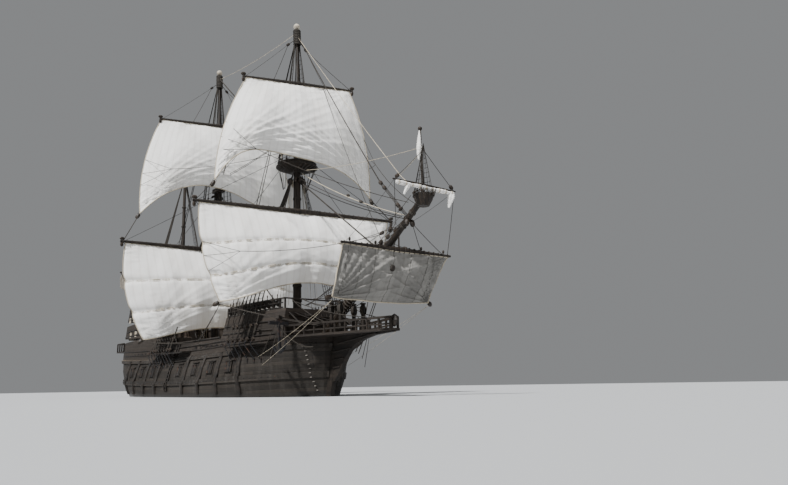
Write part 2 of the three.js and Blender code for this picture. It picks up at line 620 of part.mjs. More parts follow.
function buildSail(node, cloth) {
  const loops = [];
  for (let i = 0; i <= sailColumns; i++) {
    const across = -1 + 2 * i / sailColumns;
    const front = [];
    const back = [];
    for (let k = 0; k <= sailRows; k++) {
      front.push(sailPoint(cloth, across, k / sailRows, sailThickness / 2));
      back.unshift(sailPoint(cloth, across, k / sailRows, -sailThickness / 2));
    }
    loops.push([...front, ...back]);
  }
  addPiece(node, loft(loops), canvas, 0.9);
}

function buildSquareRig() {
  buildYard('fore', 'fore_yard');
  buildYard('foreTop', 'fore_topsail_yard');
  buildYard('main', 'main_yard');
  buildYard('mainTop', 'main_topsail_yard');
  for (const [node, sail] of Object.entries(sails)) {
    const { yard, ahead, along, centre } = yardFrame(sail.yard);
    const head = [-1, 1].map((sign) => centre.clone().addScaledVector(along, sign * yard.half * sail.headReach));
    buildSail(node, { ...sail, spar: yard, ahead, along, head, foot: sail.clews.map((p) => v(...p)) });
  }
}

function buildSpritsails() {
  const { x, z, half, radius, tip } = spritsailYard;
  const slope = Math.atan2(bowsprit.end[2] - bowsprit.heel[2], bowsprit.end[0] - bowsprit.heel[0]);
  const slingRadius = 0.05;
  // The flat end of the sling clears the bowsprit at its after edge, however the yard turns.
  const share = (x - slingRadius - bowsprit.heel[0]) / (bowsprit.end[0] - bowsprit.heel[0]);
  const underside = lerp(bowsprit.heel[2], bowsprit.end[2], share)
    - (lerp(bowsprit.heelRadius, bowsprit.endRadius, share) + gap) / Math.cos(slope);
  const pole = spar(v(x, -half, z), v(x, half, z), [[0, tip], [0.5, radius], [1, tip]]);
  const sling = spar(v(x, 0, z), v(x, 0, underside), [[0, slingRadius], [1, slingRadius]], 8);
  addPiece('spritsail_yard', pole.add(sling), wood.spar);
  hinges.spritsail_yard = { point: v(x, 0, z), axis: v(0, 0, 1) };
  const head = [-1, 1].map((sign) => v(x, sign * half * spritsail.headReach, z));
  buildSail('spritsail', { ...spritsail, spar: spritsailYard, ahead: v(1, 0, 0), along: v(0, 1, 0), head,
    foot: spritsail.clews.map((p) => v(...p)) });
}

const spritTopmastPoint = (z) => v(spritTopmast.x - Math.tan(degrees(spritTopmast.lean)) * (z - spritTopmast.z), 0, z);

function buildBowsprit() {
  const dish = turned(v(spritTopmast.x, 0, spritTop.z), v(0, 0, 1), [[0, -0.4], [0.36, -0.4],
    [spritTop.radius - 0.1, 0], [spritTop.radius, 0.35], [spritTop.radius - 0.07, 0.35],
    [spritTop.radius - 0.16, 0.12], [0, 0.12]], 12);
  addPiece('bowsprit', bowspritSpar(0).add(dish), wood.spar);
  const ball = new THREE.SphereGeometry(0.14, 10, 6);
  ball.translate(...spritTopmastPoint(spritTopmast.truck).toArray());
  const pole = standOn(spar(spritTopmastPoint(spritTop.z), spritTopmastPoint(spritTopmast.truck),
    [[0, spritTopmast.radius], [1, spritTopmast.tip]], 10), spritTopmast.x, spritTop.z + 0.12);
  addPiece('sprit_topmast', pole.add(toSolid(ball)), wood.spar);
}

function buildSpritTopsail() {
  const { z, half, radius, tip } = spritTopsailYard;
  const mastCentre = spritTopmastPoint(z);
  const mastShare = (z - spritTop.z) / (spritTopmast.truck - spritTop.z);
  const inner = parrelBore(lerp(spritTopmast.radius, spritTopmast.tip, mastShare), 12);
  const axis = v(-Math.sin(degrees(spritTopmast.lean)), 0, Math.cos(degrees(spritTopmast.lean)));
  const x = mastCentre.x + inner + radius + 0.02;
  const pole = spar(v(x, -half, z), v(x, half, z), [[0, tip], [0.5, radius], [1, tip]], 10);
  const parrel = turned(mastCentre, axis, [[inner, -0.1], [inner + 0.09, -0.1], [inner + 0.09, 0.1],
    [inner, 0.1]], 12);
  const bore = spar(mastCentre.clone().addScaledVector(axis, -0.5), mastCentre.clone().addScaledVector(axis, 0.5),
    [[0, inner], [1, inner]], 12);
  addPiece('sprit_topsail_yard', pole.subtract(bore).add(parrel), wood.spar);
  hinges.sprit_topsail_yard = { point: mastCentre, axis };
  const hang = radius + 0.09;
  const roll = spar(v(x + 0.05, -half * 0.92, z - hang), v(x + 0.05, half * 0.92, z - hang),
    [[0, 0.1], [0.2, 0.115], [0.5, 0.1], [0.8, 0.115], [1, 0.1]], 8);
  addPiece('sprit_topsail', roll.subtract(spar(v(x, -half, z), v(x, half, z), [[0, tip + gap], [0.5, radius + gap],
    [1, tip + gap]], 10)), canvas, 0.9);
}

const lateen = { low: [-6.7, 0.5, 8.6], high: [-14.8, 0.5, 15.5], radius: 0.16, tip: 0.07 };

function buildLateen() {
  const [low, high] = [v(...lateen.low), v(...lateen.high)];
  const profile = (grow) => [[0, lateen.tip + grow], [0.45, lateen.radius + grow], [1, lateen.tip + grow]];
  const mizzen = masts.mizzen;
  const share = (mizzen.x - 0.36 - low.x) / (high.x - low.x);
  const z = lerp(low.z, high.z, share);
  const mastCentre = mastPoint(mizzen, z);
  const mastRadius = lerp(mizzen.footRadius, mizzen.tipRadius, (z - mizzen.foot) / (mizzen.head - mizzen.foot));
  const inner = parrelBore(mastRadius, 14);
  const parrel = turned(mastCentre, mastAxis(mizzen), [[inner, -0.2], [inner + 0.28, -0.2], [inner + 0.28, 0.2],
    [inner, 0.2]], 14);
  addPiece('mizzen_yard', spar(low, high, profile(0)).add(parrel), wood.spar);
  hinges.mizzen_yard = { point: mastCentre, axis: mastAxis(mizzen) };
  const drop = v(0, 0, -0.36);
  const furled = spar(low.clone().lerp(high, 0.06).add(drop), low.clone().lerp(high, 0.94).add(drop),
    [[0, 0.12], [0.25, 0.2], [0.6, 0.2], [1, 0.1]], 8);
  const guard = turned(mastCentre, mastAxis(mizzen), [[0, -0.5], [inner + 0.3, -0.5], [inner + 0.3, 0.5], [0, 0.5]], 14);
  addPiece('mizzen_sail', largest(furled.subtract(spar(low, high, profile(gap))).subtract(guard)), canvas, 0.9);
}

const rudder = { head: 3.45, foot: -3.2, radius: 0.16, thickness: 0.24 };

// The rudder hangs just clear of the sternpost and turns about a line along it.
function rudderPoint(z) {
  const [[footX, footZ], [headX, headZ]] = [sternpost.foot, sternpost.head];
  const slope = (headX - footX) / (headZ - footZ);
  const out = (rudder.radius + gap + 0.001) * Math.hypot(1, slope);
  return v(footX + slope * (z - footZ) - out, 0, z);
}

function buildRudder() {
  const [top, bottom] = [rudderPoint(rudder.head), rudderPoint(rudder.foot)];
  const stock = spar(bottom, top, [[0, rudder.radius], [1, rudder.radius]], 12);
  const blade = plateXZ([[bottom.x, bottom.z], [top.x, top.z - 0.3], [top.x - 0.55, top.z - 0.3],
    [top.x - 0.75, 1.2], [bottom.x - 1.35, -1.2], [bottom.x - 1.5, bottom.z]], rudder.thickness);
  addPiece('rudder', stock.add(blade), wood.tarred);
  hinges.rudder = { point: rudderPoint(0), axis: top.sub(bottom).normalize() };
}

// The catheads: a beam over each bow.
const cathead = { root: [14.8, 2.2, 5.3], end: [16.45, 4.0, 5.45], width: 0.26 };

function catheadBeam(side, grow = 0) {
  const at = ([x, y, z]) => v(x, side * y, z);
  return bar(at(cathead.root), at(cathead.end), cathead.width + 2 * grow, cathead.width + 2 * grow);
}

// The starboard anchor hangs from its cathead, and the port one is stowed on the fore channel.
// Columns: side's word, crown, ring, direction of the arms, direction of the stock.
const anchors = [
  ['stbd', [16.7, -3.84, 3.0], [16.34, -3.84, 5.4], [1, 0, 0.15], [0, 1, 0]],
  ['port', [13.3, 3.92, 4.72], [10.9, 4.1, 4.62], [0, 0, 1], [0, 0, 1]],
];

function buildAnchors() {
  for (const [word, crownAt, ringAt, armsAlong, stockAlong] of anchors) {
    const [crown, ring] = [v(...crownAt), v(...ringAt)];
    const back = ring.clone().sub(crown).normalize();
    const [arms, stock] = [v(...armsAlong).normalize(), v(...stockAlong)];
    const pieces = [bar(crown, ring, 0.16, 0.16)];
    const stockAt = crown.clone().lerp(ring, 0.84);
    pieces.push(bar(stockAt.clone().addScaledVector(stock, -0.75), stockAt.clone().addScaledVector(stock, 0.75),
      0.2, 0.22));
    for (const sign of [-1, 1]) {
      const bend = crown.clone().addScaledVector(arms, sign * 0.55).addScaledVector(back, 0.2);
      const bill = crown.clone().addScaledVector(arms, sign * 0.9).addScaledVector(back, 0.65);
      pieces.push(bar(crown, bend, 0.16, 0.16), bar(bend, bill, 0.13, 0.13));
    }
    const clear = join(pieces).subtract(catheadBeam(starboard, gap)).subtract(channelBody(channels[0], port, gap));
    addPiece(`anchor_${word}`, largest(clear), iron, 0.5, 0.8);
  }
}

const rope = 0.055;

function buildStays() {
  const foreHead = mastPoint(masts.fore, 17.0);
  const spritShare = 0.687;
  const foreFoot = v(...bowsprit.heel).lerp(v(...bowsprit.end), spritShare);
  const forestay = spar(foreHead, foreFoot, [[0, rope], [1, rope]], 8)
    .subtract(buildLowerMast('fore', gap)).subtract(bowspritSpar(gap));
  addPiece('forestay', largest(forestay), wood.tarred);
  const mainHead = mastPoint(masts.main, 16.4);
  const mainFoot = v(11.5, 0, forecastle.deck);
  const deckCut = box(5, 14, -2, 2, 4, forecastle.deck + gap);
  const mainstay = spar(mainHead, mainFoot, [[0, rope], [1, rope]], 8)
    .subtract(buildLowerMast('main', gap)).subtract(deckCut);
  addPiece('mainstay', largest(mainstay), wood.tarred);
}

const taffrail = { x: -18.6, z: 10.2 };
const staffFoot = v(taffrail.x, -2.1, taffrail.z);
const staffTop = v(taffrail.x - 4.0, -2.5, 13.9);

const staff = (grow) => spar(staffFoot, staffTop, [[0, 0.08 + grow], [1, 0.05 + grow]], 8);

function ensignStaff() {
  const ball = new THREE.SphereGeometry(0.12, 8, 6);
  ball.translate(...staffTop.toArray());
  return staff(0).add(toSolid(ball));
}

function buildSternTrim() {
  const wallTop = raisedDecks.at(-1)[3];
  const base = v(taffrail.x + 0.05, 0, wallTop + sheerAt(taffrail.x, 1) + gap);
  const outline = [[0, 0], [0.12, 0], [0.1, 0.35], [0.32, 0.5], [0.42, 1.25], [0.12, 1.6], [0.05, 1.85], [0, 1.85]];
  addPiece('stern_lantern', turned(base, v(0, 0, 1), outline, 8), iron, 0.4, 0.6);
  const flagTop = staffFoot.clone().lerp(staffTop, 0.93);
  const flagLow = staffFoot.clone().lerp(staffTop, 0.6);
  const ring = (p, drop) => [v(p.x, p.y - 0.03, p.z - 0.04), v(p.x, p.y - 0.05, p.z - drop),
    v(p.x, p.y + 0.05, p.z - drop), v(p.x, p.y + 0.03, p.z - 0.04)];
  const flag = loft([ring(flagLow, 0.9), ring(flagLow.clone().lerp(flagTop, 0.5), 1.5), ring(flagTop, 1.7)]);
  addPiece('ensign', largest(flag.subtract(staff(gap))), canvas, 0.9);
}

buildHull();
buildKeel();
buildHeadKnee();
buildUpperWorks();
buildForecastleRail();
buildBeakhead();
buildWaistBulwarks();
buildChannels();
buildSternGallery();
buildGunportLids();
buildRudder();
buildMasts();
buildBowsprit();
buildSquareRig();
buildSpritsails();
buildSpritTopsail();
buildLateen();
buildStays();
buildAnchors();
buildSternTrim();

galleon.userData.hinges = hinges;
export default galleon;
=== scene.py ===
# The looks of a three-masted galleon, as a 1:10 model afloat.
# Sizes are metres of the full-size ship, and shipMetre turns them into the model's.
# +X is the bow, +Y is port, +Z is up, and the waterline is z = 0.
import math

import bpy
import numpy as np
from mathutils import Euler, Matrix, Vector
from mathutils.bvhtree import BVHTree


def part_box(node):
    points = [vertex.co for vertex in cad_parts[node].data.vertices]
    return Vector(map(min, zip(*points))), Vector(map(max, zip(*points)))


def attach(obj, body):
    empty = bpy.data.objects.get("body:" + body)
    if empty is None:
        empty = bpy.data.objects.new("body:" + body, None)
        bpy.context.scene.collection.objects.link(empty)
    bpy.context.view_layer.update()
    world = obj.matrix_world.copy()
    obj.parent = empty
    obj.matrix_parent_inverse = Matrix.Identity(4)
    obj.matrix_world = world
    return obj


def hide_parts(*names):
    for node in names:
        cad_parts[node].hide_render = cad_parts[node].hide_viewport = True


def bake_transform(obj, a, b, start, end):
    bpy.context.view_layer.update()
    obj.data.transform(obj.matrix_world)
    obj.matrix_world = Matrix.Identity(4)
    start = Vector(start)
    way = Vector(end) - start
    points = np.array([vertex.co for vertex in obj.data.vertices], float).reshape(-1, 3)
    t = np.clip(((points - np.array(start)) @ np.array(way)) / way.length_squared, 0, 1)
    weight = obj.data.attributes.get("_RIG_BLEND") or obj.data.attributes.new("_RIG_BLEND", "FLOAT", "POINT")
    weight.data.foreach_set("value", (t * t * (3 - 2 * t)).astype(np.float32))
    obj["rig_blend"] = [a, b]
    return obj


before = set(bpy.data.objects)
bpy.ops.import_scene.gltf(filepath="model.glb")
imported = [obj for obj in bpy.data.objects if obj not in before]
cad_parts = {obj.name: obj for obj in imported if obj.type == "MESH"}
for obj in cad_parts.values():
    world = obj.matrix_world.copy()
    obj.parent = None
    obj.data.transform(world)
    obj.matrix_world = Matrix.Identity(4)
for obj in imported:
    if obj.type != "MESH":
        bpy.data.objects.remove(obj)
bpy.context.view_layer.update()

shipMetre = 0.1
starboard, port = -1, 1
sideNames = {starboard: "stbd", port: "port"}
print("frame loaded")


def at(x=0.0, y=0.0, z=0.0):
    return Vector((x, y, z))


# A point on a circle or an ellipse about the origin, by its angle from the bow in degrees.
def circled(angle, ahead, across=None, z=0.0):
    turn = math.radians(angle)
    return at(ahead * math.cos(turn), (ahead if across is None else across) * math.sin(turn), z)


def steps(low, high, count):
    return [low + (high - low) * i / (count - 1) for i in range(count)]


def between(a, b, share):
    return Vector(a).lerp(Vector(b), share)


def linked(name, data, finish=None):
    thing = bpy.data.objects.new(name, data)
    bpy.context.scene.collection.objects.link(thing)
    if finish:
        data.materials.append(finish)
    return thing


# Camera, floor and light

view = {"place": (59.04, -27.86, 0.72), "azimuth": 51.16, "pitch": 11.5, "roll": -0.92, "lens": 31.99,
        "sensor": 36.0, "clip": (0.1, 100.0)}


def addCamera():
    data = bpy.data.cameras.new("camera")
    data.lens, data.sensor_width = view["lens"], view["sensor"]
    data.clip_start, data.clip_end = view["clip"]
    camera = linked("camera", data)
    camera.location = Vector(view["place"]) * shipMetre
    turn = Euler((math.radians(90 + view["pitch"]), 0, math.radians(view["azimuth"])), "XYZ").to_matrix()
    camera.rotation_euler = (turn @ Matrix.Rotation(math.radians(view["roll"]), 3, "Z")).to_euler()
    bpy.context.scene.camera = camera


lamps = {"sun": {"from": (0.16, -0.62, 0.77), "strength": 8.0, "angle": 4.0},
         "fill": {"from": (0.8, -0.2, 0.5), "strength": 0.6, "angle": 60.0}}
stage = {"sky": (0.42, 0.43, 0.44), "skyStrength": 0.58, "floorHalf": 20.0, "floor": (0.43, 0.44, 0.45),
         "floorRoughness": 0.6}


def addStage():
    for name, row in lamps.items():
        data = bpy.data.lights.new(name, "SUN")
        data.energy, data.angle = row["strength"], math.radians(row["angle"])
        linked(name, data).rotation_euler = Vector(row["from"]).to_track_quat("Z", "Y").to_euler()
    world = bpy.data.worlds.new("sky")
    world.use_nodes = True
    background = world.node_tree.nodes["Background"]
    background.inputs["Color"].default_value = (*stage["sky"], 1)
    background.inputs["Strength"].default_value = stage["skyStrength"]
    bpy.context.scene.world = world
    finish = bpy.data.materials.new("floorFinish")
    finish.use_nodes = True
    shader = finish.node_tree.nodes["Principled BSDF"]
    shader.inputs["Base Color"].default_value = (*stage["floor"], 1)
    shader.inputs["Roughness"].default_value = stage["floorRoughness"]
    half = stage["floorHalf"]
    mesh = bpy.data.meshes.new("floor")
    mesh.from_pydata([(-half, -half, 0), (half, -half, 0), (half, half, 0), (-half, half, 0)], [],
                     [(0, 1, 2, 3)])
    linked("floor", mesh, finish)


addCamera()
addStage()
print("camera, floor and light")


# Node trees: one maker for shader and geometry nodes, and wires that can be calculated with

def operator(kind, mirrored=False):
    def apply(wire, other):
        return wire.maker.math(kind, *((other, wire) if mirrored else (wire, other)))
    return apply


class Wire:
    def __init__(self, maker, socket):
        self.maker, self.socket = maker, socket

    __add__, __radd__ = operator("ADD"), operator("ADD", True)
    __sub__, __rsub__ = operator("SUBTRACT"), operator("SUBTRACT", True)
    __mul__, __rmul__ = operator("MULTIPLY"), operator("MULTIPLY", True)
    __truediv__ = operator("DIVIDE")


class Maker:
    def __init__(self, tree):
        self.tree = tree

    def add(self, kind, settings=None, inputs=None, output=0):
        node = self.tree.nodes.new(kind)
        for name, value in (settings or {}).items():
            setattr(node, name, value)
        for name, value in (inputs or {}).items():
            self.feed(node.inputs[name], value)
        return Wire(self, node.outputs[output])

    def feed(self, socket, value):
        if isinstance(value, Wire):
            self.tree.links.new(value.socket, socket)
        elif socket.type == "RGBA":
            socket.default_value = (*value, 1)
        else:
            socket.default_value = value

    def math(self, operation, *values):
        return self.add("ShaderNodeMath", {"operation": operation}, dict(enumerate(values)))

    def mix(self, factor, a, b):
        return self.add("ShaderNodeMix", {"data_type": "RGBA"}, {0: factor, 6: a, 7: b}, 2)

    def smooth(self, value, low, high):
        return self.add("ShaderNodeMapRange", {"interpolation_type": "SMOOTHSTEP"},
                        {0: value, 1: low, 2: high})

    def noise(self, vector, scale=1.0, detail=4.0, rough=0.55, stretch=None):
        if stretch:
            vector = self.add("ShaderNodeMapping", None, {"Vector": vector, "Scale": stretch})
        return self.add("ShaderNodeTexNoise", None,
                        {"Vector": vector, "Scale": scale, "Detail": detail, "Roughness": rough})

    def random(self, socket, value, dimensions):
        return self.add("ShaderNodeTexWhiteNoise", {"noise_dimensions": dimensions}, {socket: value})

    def axis(self, vector, number):
        return self.add("ShaderNodeSeparateXYZ", None, {0: vector}, number)

    # How far a value is from the middle of its unit, from 0 to 1.
    def offMiddle(self, value):
        return self.math("ABSOLUTE", self.math("FRACT", value) - 0.5) * 2


class Finish(Maker):
    def __init__(self, name, roughness, metallic=0.0, specular=0.25):
        self.material = bpy.data.materials.new(name)
        self.material.use_nodes = True
        super().__init__(self.material.node_tree)
        self.shader = self.tree.nodes["Principled BSDF"]
        self.paint({"Roughness": roughness, "Metallic": metallic, "Specular IOR Level": specular})

    def paint(self, inputs):
        for name, value in inputs.items():
            self.feed(self.shader.inputs[name], value)

    def place(self):
        return self.add("ShaderNodeTexCoord", None, None, "Object")

    def cloth(self):
        return self.add("ShaderNodeUVMap", {"uv_map": "cloth"})

    def bump(self, height, strength, distance):
        inputs = {"Height": height, "Strength": strength, "Distance": distance}
        self.paint({"Normal": self.add("ShaderNodeBump", None, inputs)})


def scaled(color, share):
    return tuple(share * c for c in color)


# Finishes

planking = {"strake": 0.27, "length": 6.5, "seam": 0.07, "butt": 0.992, "deckWidth": 0.2, "deckFrom": 3.2,
            "sheer": 0.4, "sheerReach": 17.0, "wet": (0.012, 0.012, 0.011), "wetBelow": (0.25, 0.75)}


# Planks that run along the hull and follow its sheer, with deck planks where the face looks up.
def plankFinish(name, dark, pale, deck, wear, roughness=0.66):
    make = Finish(name, roughness)
    place = make.place()
    x, y, z = (make.axis(place, number) / shipMetre for number in range(3))
    facing = make.axis(make.add("ShaderNodeTexCoord", None, None, "Normal"), 2)
    isDeck = make.smooth(facing, 0.80, 0.9) * make.smooth(z, planking["deckFrom"], planking["deckFrom"] + 0.1)
    rise = planking["sheer"] / planking["sheerReach"] ** 2 * (x * x)
    row = (z - rise) / planking["strake"] * (1 - isDeck) + y / planking["deckWidth"] * isDeck
    number = make.math("FLOOR", row)
    along = x / planking["length"] + make.random("W", number, "1D") * 3.7
    plank = make.add("ShaderNodeCombineXYZ", None, {0: number, 1: make.math("FLOOR", along), 2: isDeck})
    tone = make.random("Vector", plank, "3D")
    seam = make.math("MAXIMUM", make.smooth(make.offMiddle(row), 1 - 2 * planking["seam"], 1.0),
                     make.smooth(make.offMiddle(along), planking["butt"], 1.0))
    grain = make.noise(place, 1.0, 6.0, 0.65, (7.0, 60.0, 90.0))
    stain = make.noise(place, 2.3, 5.0, 0.6)
    drips = make.noise(place, 1.0, 3.0, stretch=(26.0, 26.0, 2.2))
    side = make.mix(make.smooth(tone * 0.3 + grain * 0.7, 0.2, 0.85), dark, pale)
    side = make.mix(make.smooth(stain * 0.6 + drips * 0.4, 0.5, 0.68) * 0.5, side, wear)
    boards = make.mix(make.smooth(tone * 0.6 + grain * 0.4, 0.2, 0.8), scaled(deck, 0.7), deck)
    color = make.mix(seam * 0.75, make.mix(isDeck, side, boards), scaled(dark, 0.25))
    wet = 1 - make.smooth(z + stain * 0.5, *planking["wetBelow"])
    make.paint({"Base Color": make.mix(wet * 0.6, color, planking["wet"]),
                "Roughness": roughness - 0.05 + 0.18 * grain - 0.3 * wet})
    make.bump(grain * 0.35 - seam, 0.6, 0.002)
    return make.material


def sparFinish(name, dark, pale, stretch, roughness=0.55):
    make = Finish(name, roughness)
    place = make.place()
    grain = make.noise(place, 1.0, 6.0, 0.6, stretch)
    color = make.mix(make.smooth(grain, 0.3, 0.7), dark, pale)
    color = make.mix(make.smooth(make.noise(place, 5.0), 0.52, 0.7) * 0.45, color, scaled(dark, 0.45))
    make.paint({"Base Color": color, "Roughness": roughness - 0.1 + 0.2 * grain})
    make.bump(grain, 0.35, 0.0008)
    return make.material


canvasCut = {"clothWidth": 0.62, "seamWidth": 0.05}


# Canvas in sewn cloths. The cloth's own UV map is in metres of the ship.
def canvasFinish(name, pale, shade, seamTone, stainTone, stainShare, weave, through):
    make = Finish(name, 0.92, specular=0.15)
    cloth = make.cloth()
    number = make.axis(cloth, 0) / canvasCut["clothWidth"]
    width = canvasCut["seamWidth"] / canvasCut["clothWidth"]
    nearSeam = make.offMiddle(number)
    overlap = make.smooth(nearSeam, 1 - 2 * width, 1 - 1.6 * width)
    stitch = (make.smooth(nearSeam, 1 - 2.3 * width, 1 - 2 * width)
              - make.smooth(nearSeam, 1 - 1.9 * width, 1 - 1.5 * width))
    tone = make.random("W", make.math("FLOOR", number), "1D")
    mottle = make.noise(cloth, 1.0, 5.0, 0.6, (0.5, 0.28, 1.0))
    fine = make.noise(cloth, 1.0, 2.0, stretch=(24.0, 24.0, 1.0))
    threads = make.add("ShaderNodeTexWave", {"bands_direction": "Y"},
                       {"Vector": cloth, "Scale": 9.0, "Distortion": 1.5, "Detail": 2.0})
    color = make.mix(make.smooth(mottle * 0.85 + tone * 0.15, 0.35, 0.75), pale, shade)
    color = make.mix(stitch * 0.3 + overlap * 0.12, color, seamTone)
    spots = make.noise(cloth, 1.0, 6.0, 0.7, (1.3, 0.8, 1.0))
    color = make.mix(make.smooth(spots, 0.6, 0.75) * stainShare, color, stainTone)
    make.paint({"Base Color": color, "Roughness": 0.86 + 0.12 * fine})
    make.bump(overlap * 0.8 + fine * weave + threads * 0.12 * weave, 0.45, 0.0015)
    glow = make.add("ShaderNodeBsdfTranslucent", None, {"Color": pale})
    both = make.add("ShaderNodeMixShader", None,
                    {0: through, 1: Wire(make, make.shader.outputs["BSDF"]), 2: glow})
    make.feed(make.tree.nodes["Material Output"].inputs["Surface"], both)
    return make.material


def ropeFinish(name, dark, pale):
    make = Finish(name, 0.85)
    place = make.place()
    strands = make.noise(place, 1.0, 3.0, 0.7, (150.0, 150.0, 150.0))
    patches = make.noise(place, 9.0, 3.0)
    make.paint({"Base Color": make.mix(make.smooth(strands * 0.6 + patches * 0.4, 0.3, 0.7), dark, pale)})
    make.bump(strands, 0.6, 0.0006)
    return make.material


def metalFinish(name, color, rust, metallic, roughness):
    make = Finish(name, roughness, metallic)
    place = make.place()
    pits, patches = make.noise(place, 120.0, 5.0, 0.6), make.noise(place, 22.0, 5.0)
    spread = make.smooth(patches * 0.7 + pits * 0.3, 0.5, 0.66)
    make.paint({"Base Color": make.mix(spread, color, rust), "Metallic": metallic * (1 - spread * 0.8),
                "Roughness": roughness + 0.35 * spread})
    make.bump(pits + patches, 0.3, 0.0006)
    return make.material


def glassFinish(name, pale, grimy):
    make = Finish(name, 0.12)
    grime = make.noise(make.place(), 60.0)
    make.paint({"Base Color": make.mix(grime, pale, grimy), "Roughness": 0.08 + 0.25 * grime,
                "Transmission Weight": 0.4})
    return make.material


def flagFinish(name, pale, faded):
    make = Finish(name, 0.85)
    cloth = make.cloth()
    fine = make.noise(cloth, 1.0, 2.0, stretch=(40.0, 40.0, 1.0))
    make.paint({"Base Color": make.mix(make.noise(cloth, stretch=(1.2, 1.2, 1.0)), pale, faded),
                "Roughness": 0.8 + 0.15 * fine})
    make.bump(fine, 0.3, 0.0006)
    return make.material


# Each finish: its slot, its maker, and its colours and sizes
finishTable = {
    "hullPlanks": ("tarred_wood", plankFinish, (0.008, 0.0065, 0.005), (0.025, 0.020, 0.0155),
                   (0.30, 0.24, 0.17),
                   (0.046, 0.041, 0.036)),
    "upperPlanks": ("oiled_wood", plankFinish, (0.009, 0.007, 0.0055), (0.028, 0.021, 0.016),
                    (0.24, 0.19, 0.135), (0.046, 0.040, 0.034)),
    "timber": ("tarred_wood", sparFinish, (0.006, 0.005, 0.004), (0.020, 0.015, 0.0115), (12.0, 40.0, 40.0),
               0.6),
    "mast": ("spar_wood", sparFinish, (0.007, 0.0055, 0.0045), (0.027, 0.019, 0.013), (70.0, 70.0, 5.0)),
    "yard": ("spar_wood", sparFinish, (0.007, 0.0055, 0.0045), (0.024, 0.017, 0.012), (70.0, 5.0, 70.0)),
    "blockWood": ("spar_wood", sparFinish, (0.009, 0.007, 0.0055), (0.036, 0.025, 0.017), (60.0, 60.0, 60.0)),
    "weatheredWood": ("oiled_wood", sparFinish, (0.05, 0.045, 0.04), (0.16, 0.145, 0.125),
                      (30.0, 30.0, 30.0)),
    "paleWood": ("oiled_wood", sparFinish, (0.30, 0.26, 0.20), (0.55, 0.50, 0.42), (30.0, 30.0, 30.0)),
    "canvas": ("canvas", canvasFinish, (0.93, 0.92, 0.90), (0.86, 0.845, 0.81), (0.42, 0.38, 0.32),
               (0.50, 0.45, 0.37), 0.15, 0.35, 0.3),
    # The spritsail's canvas is dark grey: partly worn, stained cloth and partly painted shade baked into its
    # colour.
    "wornCanvas": ("worn_canvas", canvasFinish, (0.34, 0.33, 0.31), (0.20, 0.195, 0.185), (0.09, 0.085, 0.08),
                   (0.14, 0.13, 0.12), 0.6, 0.5, 0.35),
    "tarredRope": ("tarred_rope", ropeFinish, (0.010, 0.009, 0.008), (0.045, 0.038, 0.031)),
    "hempRope": ("tarred_rope", ropeFinish, (0.26, 0.22, 0.16), (0.55, 0.49, 0.38)),
    "iron": ("iron", metalFinish, (0.022, 0.022, 0.024), (0.060, 0.030, 0.018), 0.7, 0.5),
    "brass": ("lantern_metal", metalFinish, (0.34, 0.25, 0.11), (0.10, 0.085, 0.05), 0.9, 0.35),
    "lanternGlass": ("lantern_metal", glassFinish, (0.75, 0.62, 0.36), (0.5, 0.38, 0.2)),
    "flagCloth": ("flag_cloth", flagFinish, (0.20, 0.18, 0.15), (0.09, 0.08, 0.07)),
}
finishes = {name: row[1](name, *row[2:]) for name, row in finishTable.items()}
print("finishes")


# Geometry node trees: one sweeps an outline along lines, the other sets a shape on points

def newTree(name, sockets):
    tree = bpy.data.node_groups.new(name, "GeometryNodeTree")
    sockets = {**sockets, "Finish": "Material"}
    for label, kind in sockets.items():
        tree.interface.new_socket(label, in_out="INPUT", socket_type="NodeSocket" + kind)
    tree.interface.new_socket("Geometry", in_out="OUTPUT", socket_type="NodeSocketGeometry")
    make = Maker(tree)
    entry = tree.nodes.new("NodeGroupInput")
    return make, {label: Wire(make, entry.outputs[label]) for label in sockets}


def endTree(make, geometry, finish):
    solid = make.add("GeometryNodeRealizeInstances", None, {"Geometry": geometry})
    painted = make.add("GeometryNodeSetMaterial", None, {"Geometry": solid, "Material": finish})
    make.feed(make.tree.nodes.new("NodeGroupOutput").inputs["Geometry"], painted)
    return make.tree


def named(make, name, kind="FLOAT_VECTOR"):
    return make.add("GeometryNodeInputNamedAttribute", {"data_type": kind}, {"Name": name})


def shapeOf(make, holder):
    return make.add("GeometryNodeObjectInfo", {"transform_space": "ORIGINAL"}, {"Object": holder}, "Geometry")


def sweepTree():
    make, inputs = newTree("sweep", {"Lines": "Geometry", "Shape": "Object"})
    curve = make.add("GeometryNodeMeshToCurve", None, {"Mesh": inputs["Lines"]})
    curve = make.add("GeometryNodeSetCurveNormal", {"mode": "FREE"},
                     {"Curve": curve, "Normal": named(make, "out")})
    outline = make.add("GeometryNodeMeshToCurve", None, {"Mesh": shapeOf(make, inputs["Shape"])})
    swept = make.add("GeometryNodeCurveToMesh", None, {"Curve": curve, "Profile Curve": outline,
                                                       "Scale": named(make, "thick", "FLOAT"),
                                                       "Fill Caps": True})
    return endTree(make, swept, inputs["Finish"])


def scatterTree():
    make, inputs = newTree("scatter", {"Points": "Geometry", "Shape": "Object"})
    turn = make.add("FunctionNodeEulerToRotation", None, {"Euler": named(make, "turn")})
    placed = make.add("GeometryNodeInstanceOnPoints", None,
                      {"Points": inputs["Points"], "Instance": shapeOf(make, inputs["Shape"]),
                       "Rotation": turn,
                       "Scale": named(make, "size")})
    return endTree(make, placed, inputs["Finish"])


trees = {"sweep": sweepTree(), "scatter": scatterTree()}


def meshOf(name, points, edges=(), faces=()):
    mesh = bpy.data.meshes.new(name)
    mesh.from_pydata([tuple(p) for p in points], list(edges), list(faces))
    mesh.update()
    return mesh


# The evaluated form of an object with modifiers, as a plain mesh.
def plainMesh(holder):
    graph = bpy.context.evaluated_depsgraph_get()
    return bpy.data.meshes.new_from_object(holder.evaluated_get(graph), preserve_all_data_layers=True,
                                           depsgraph=graph)


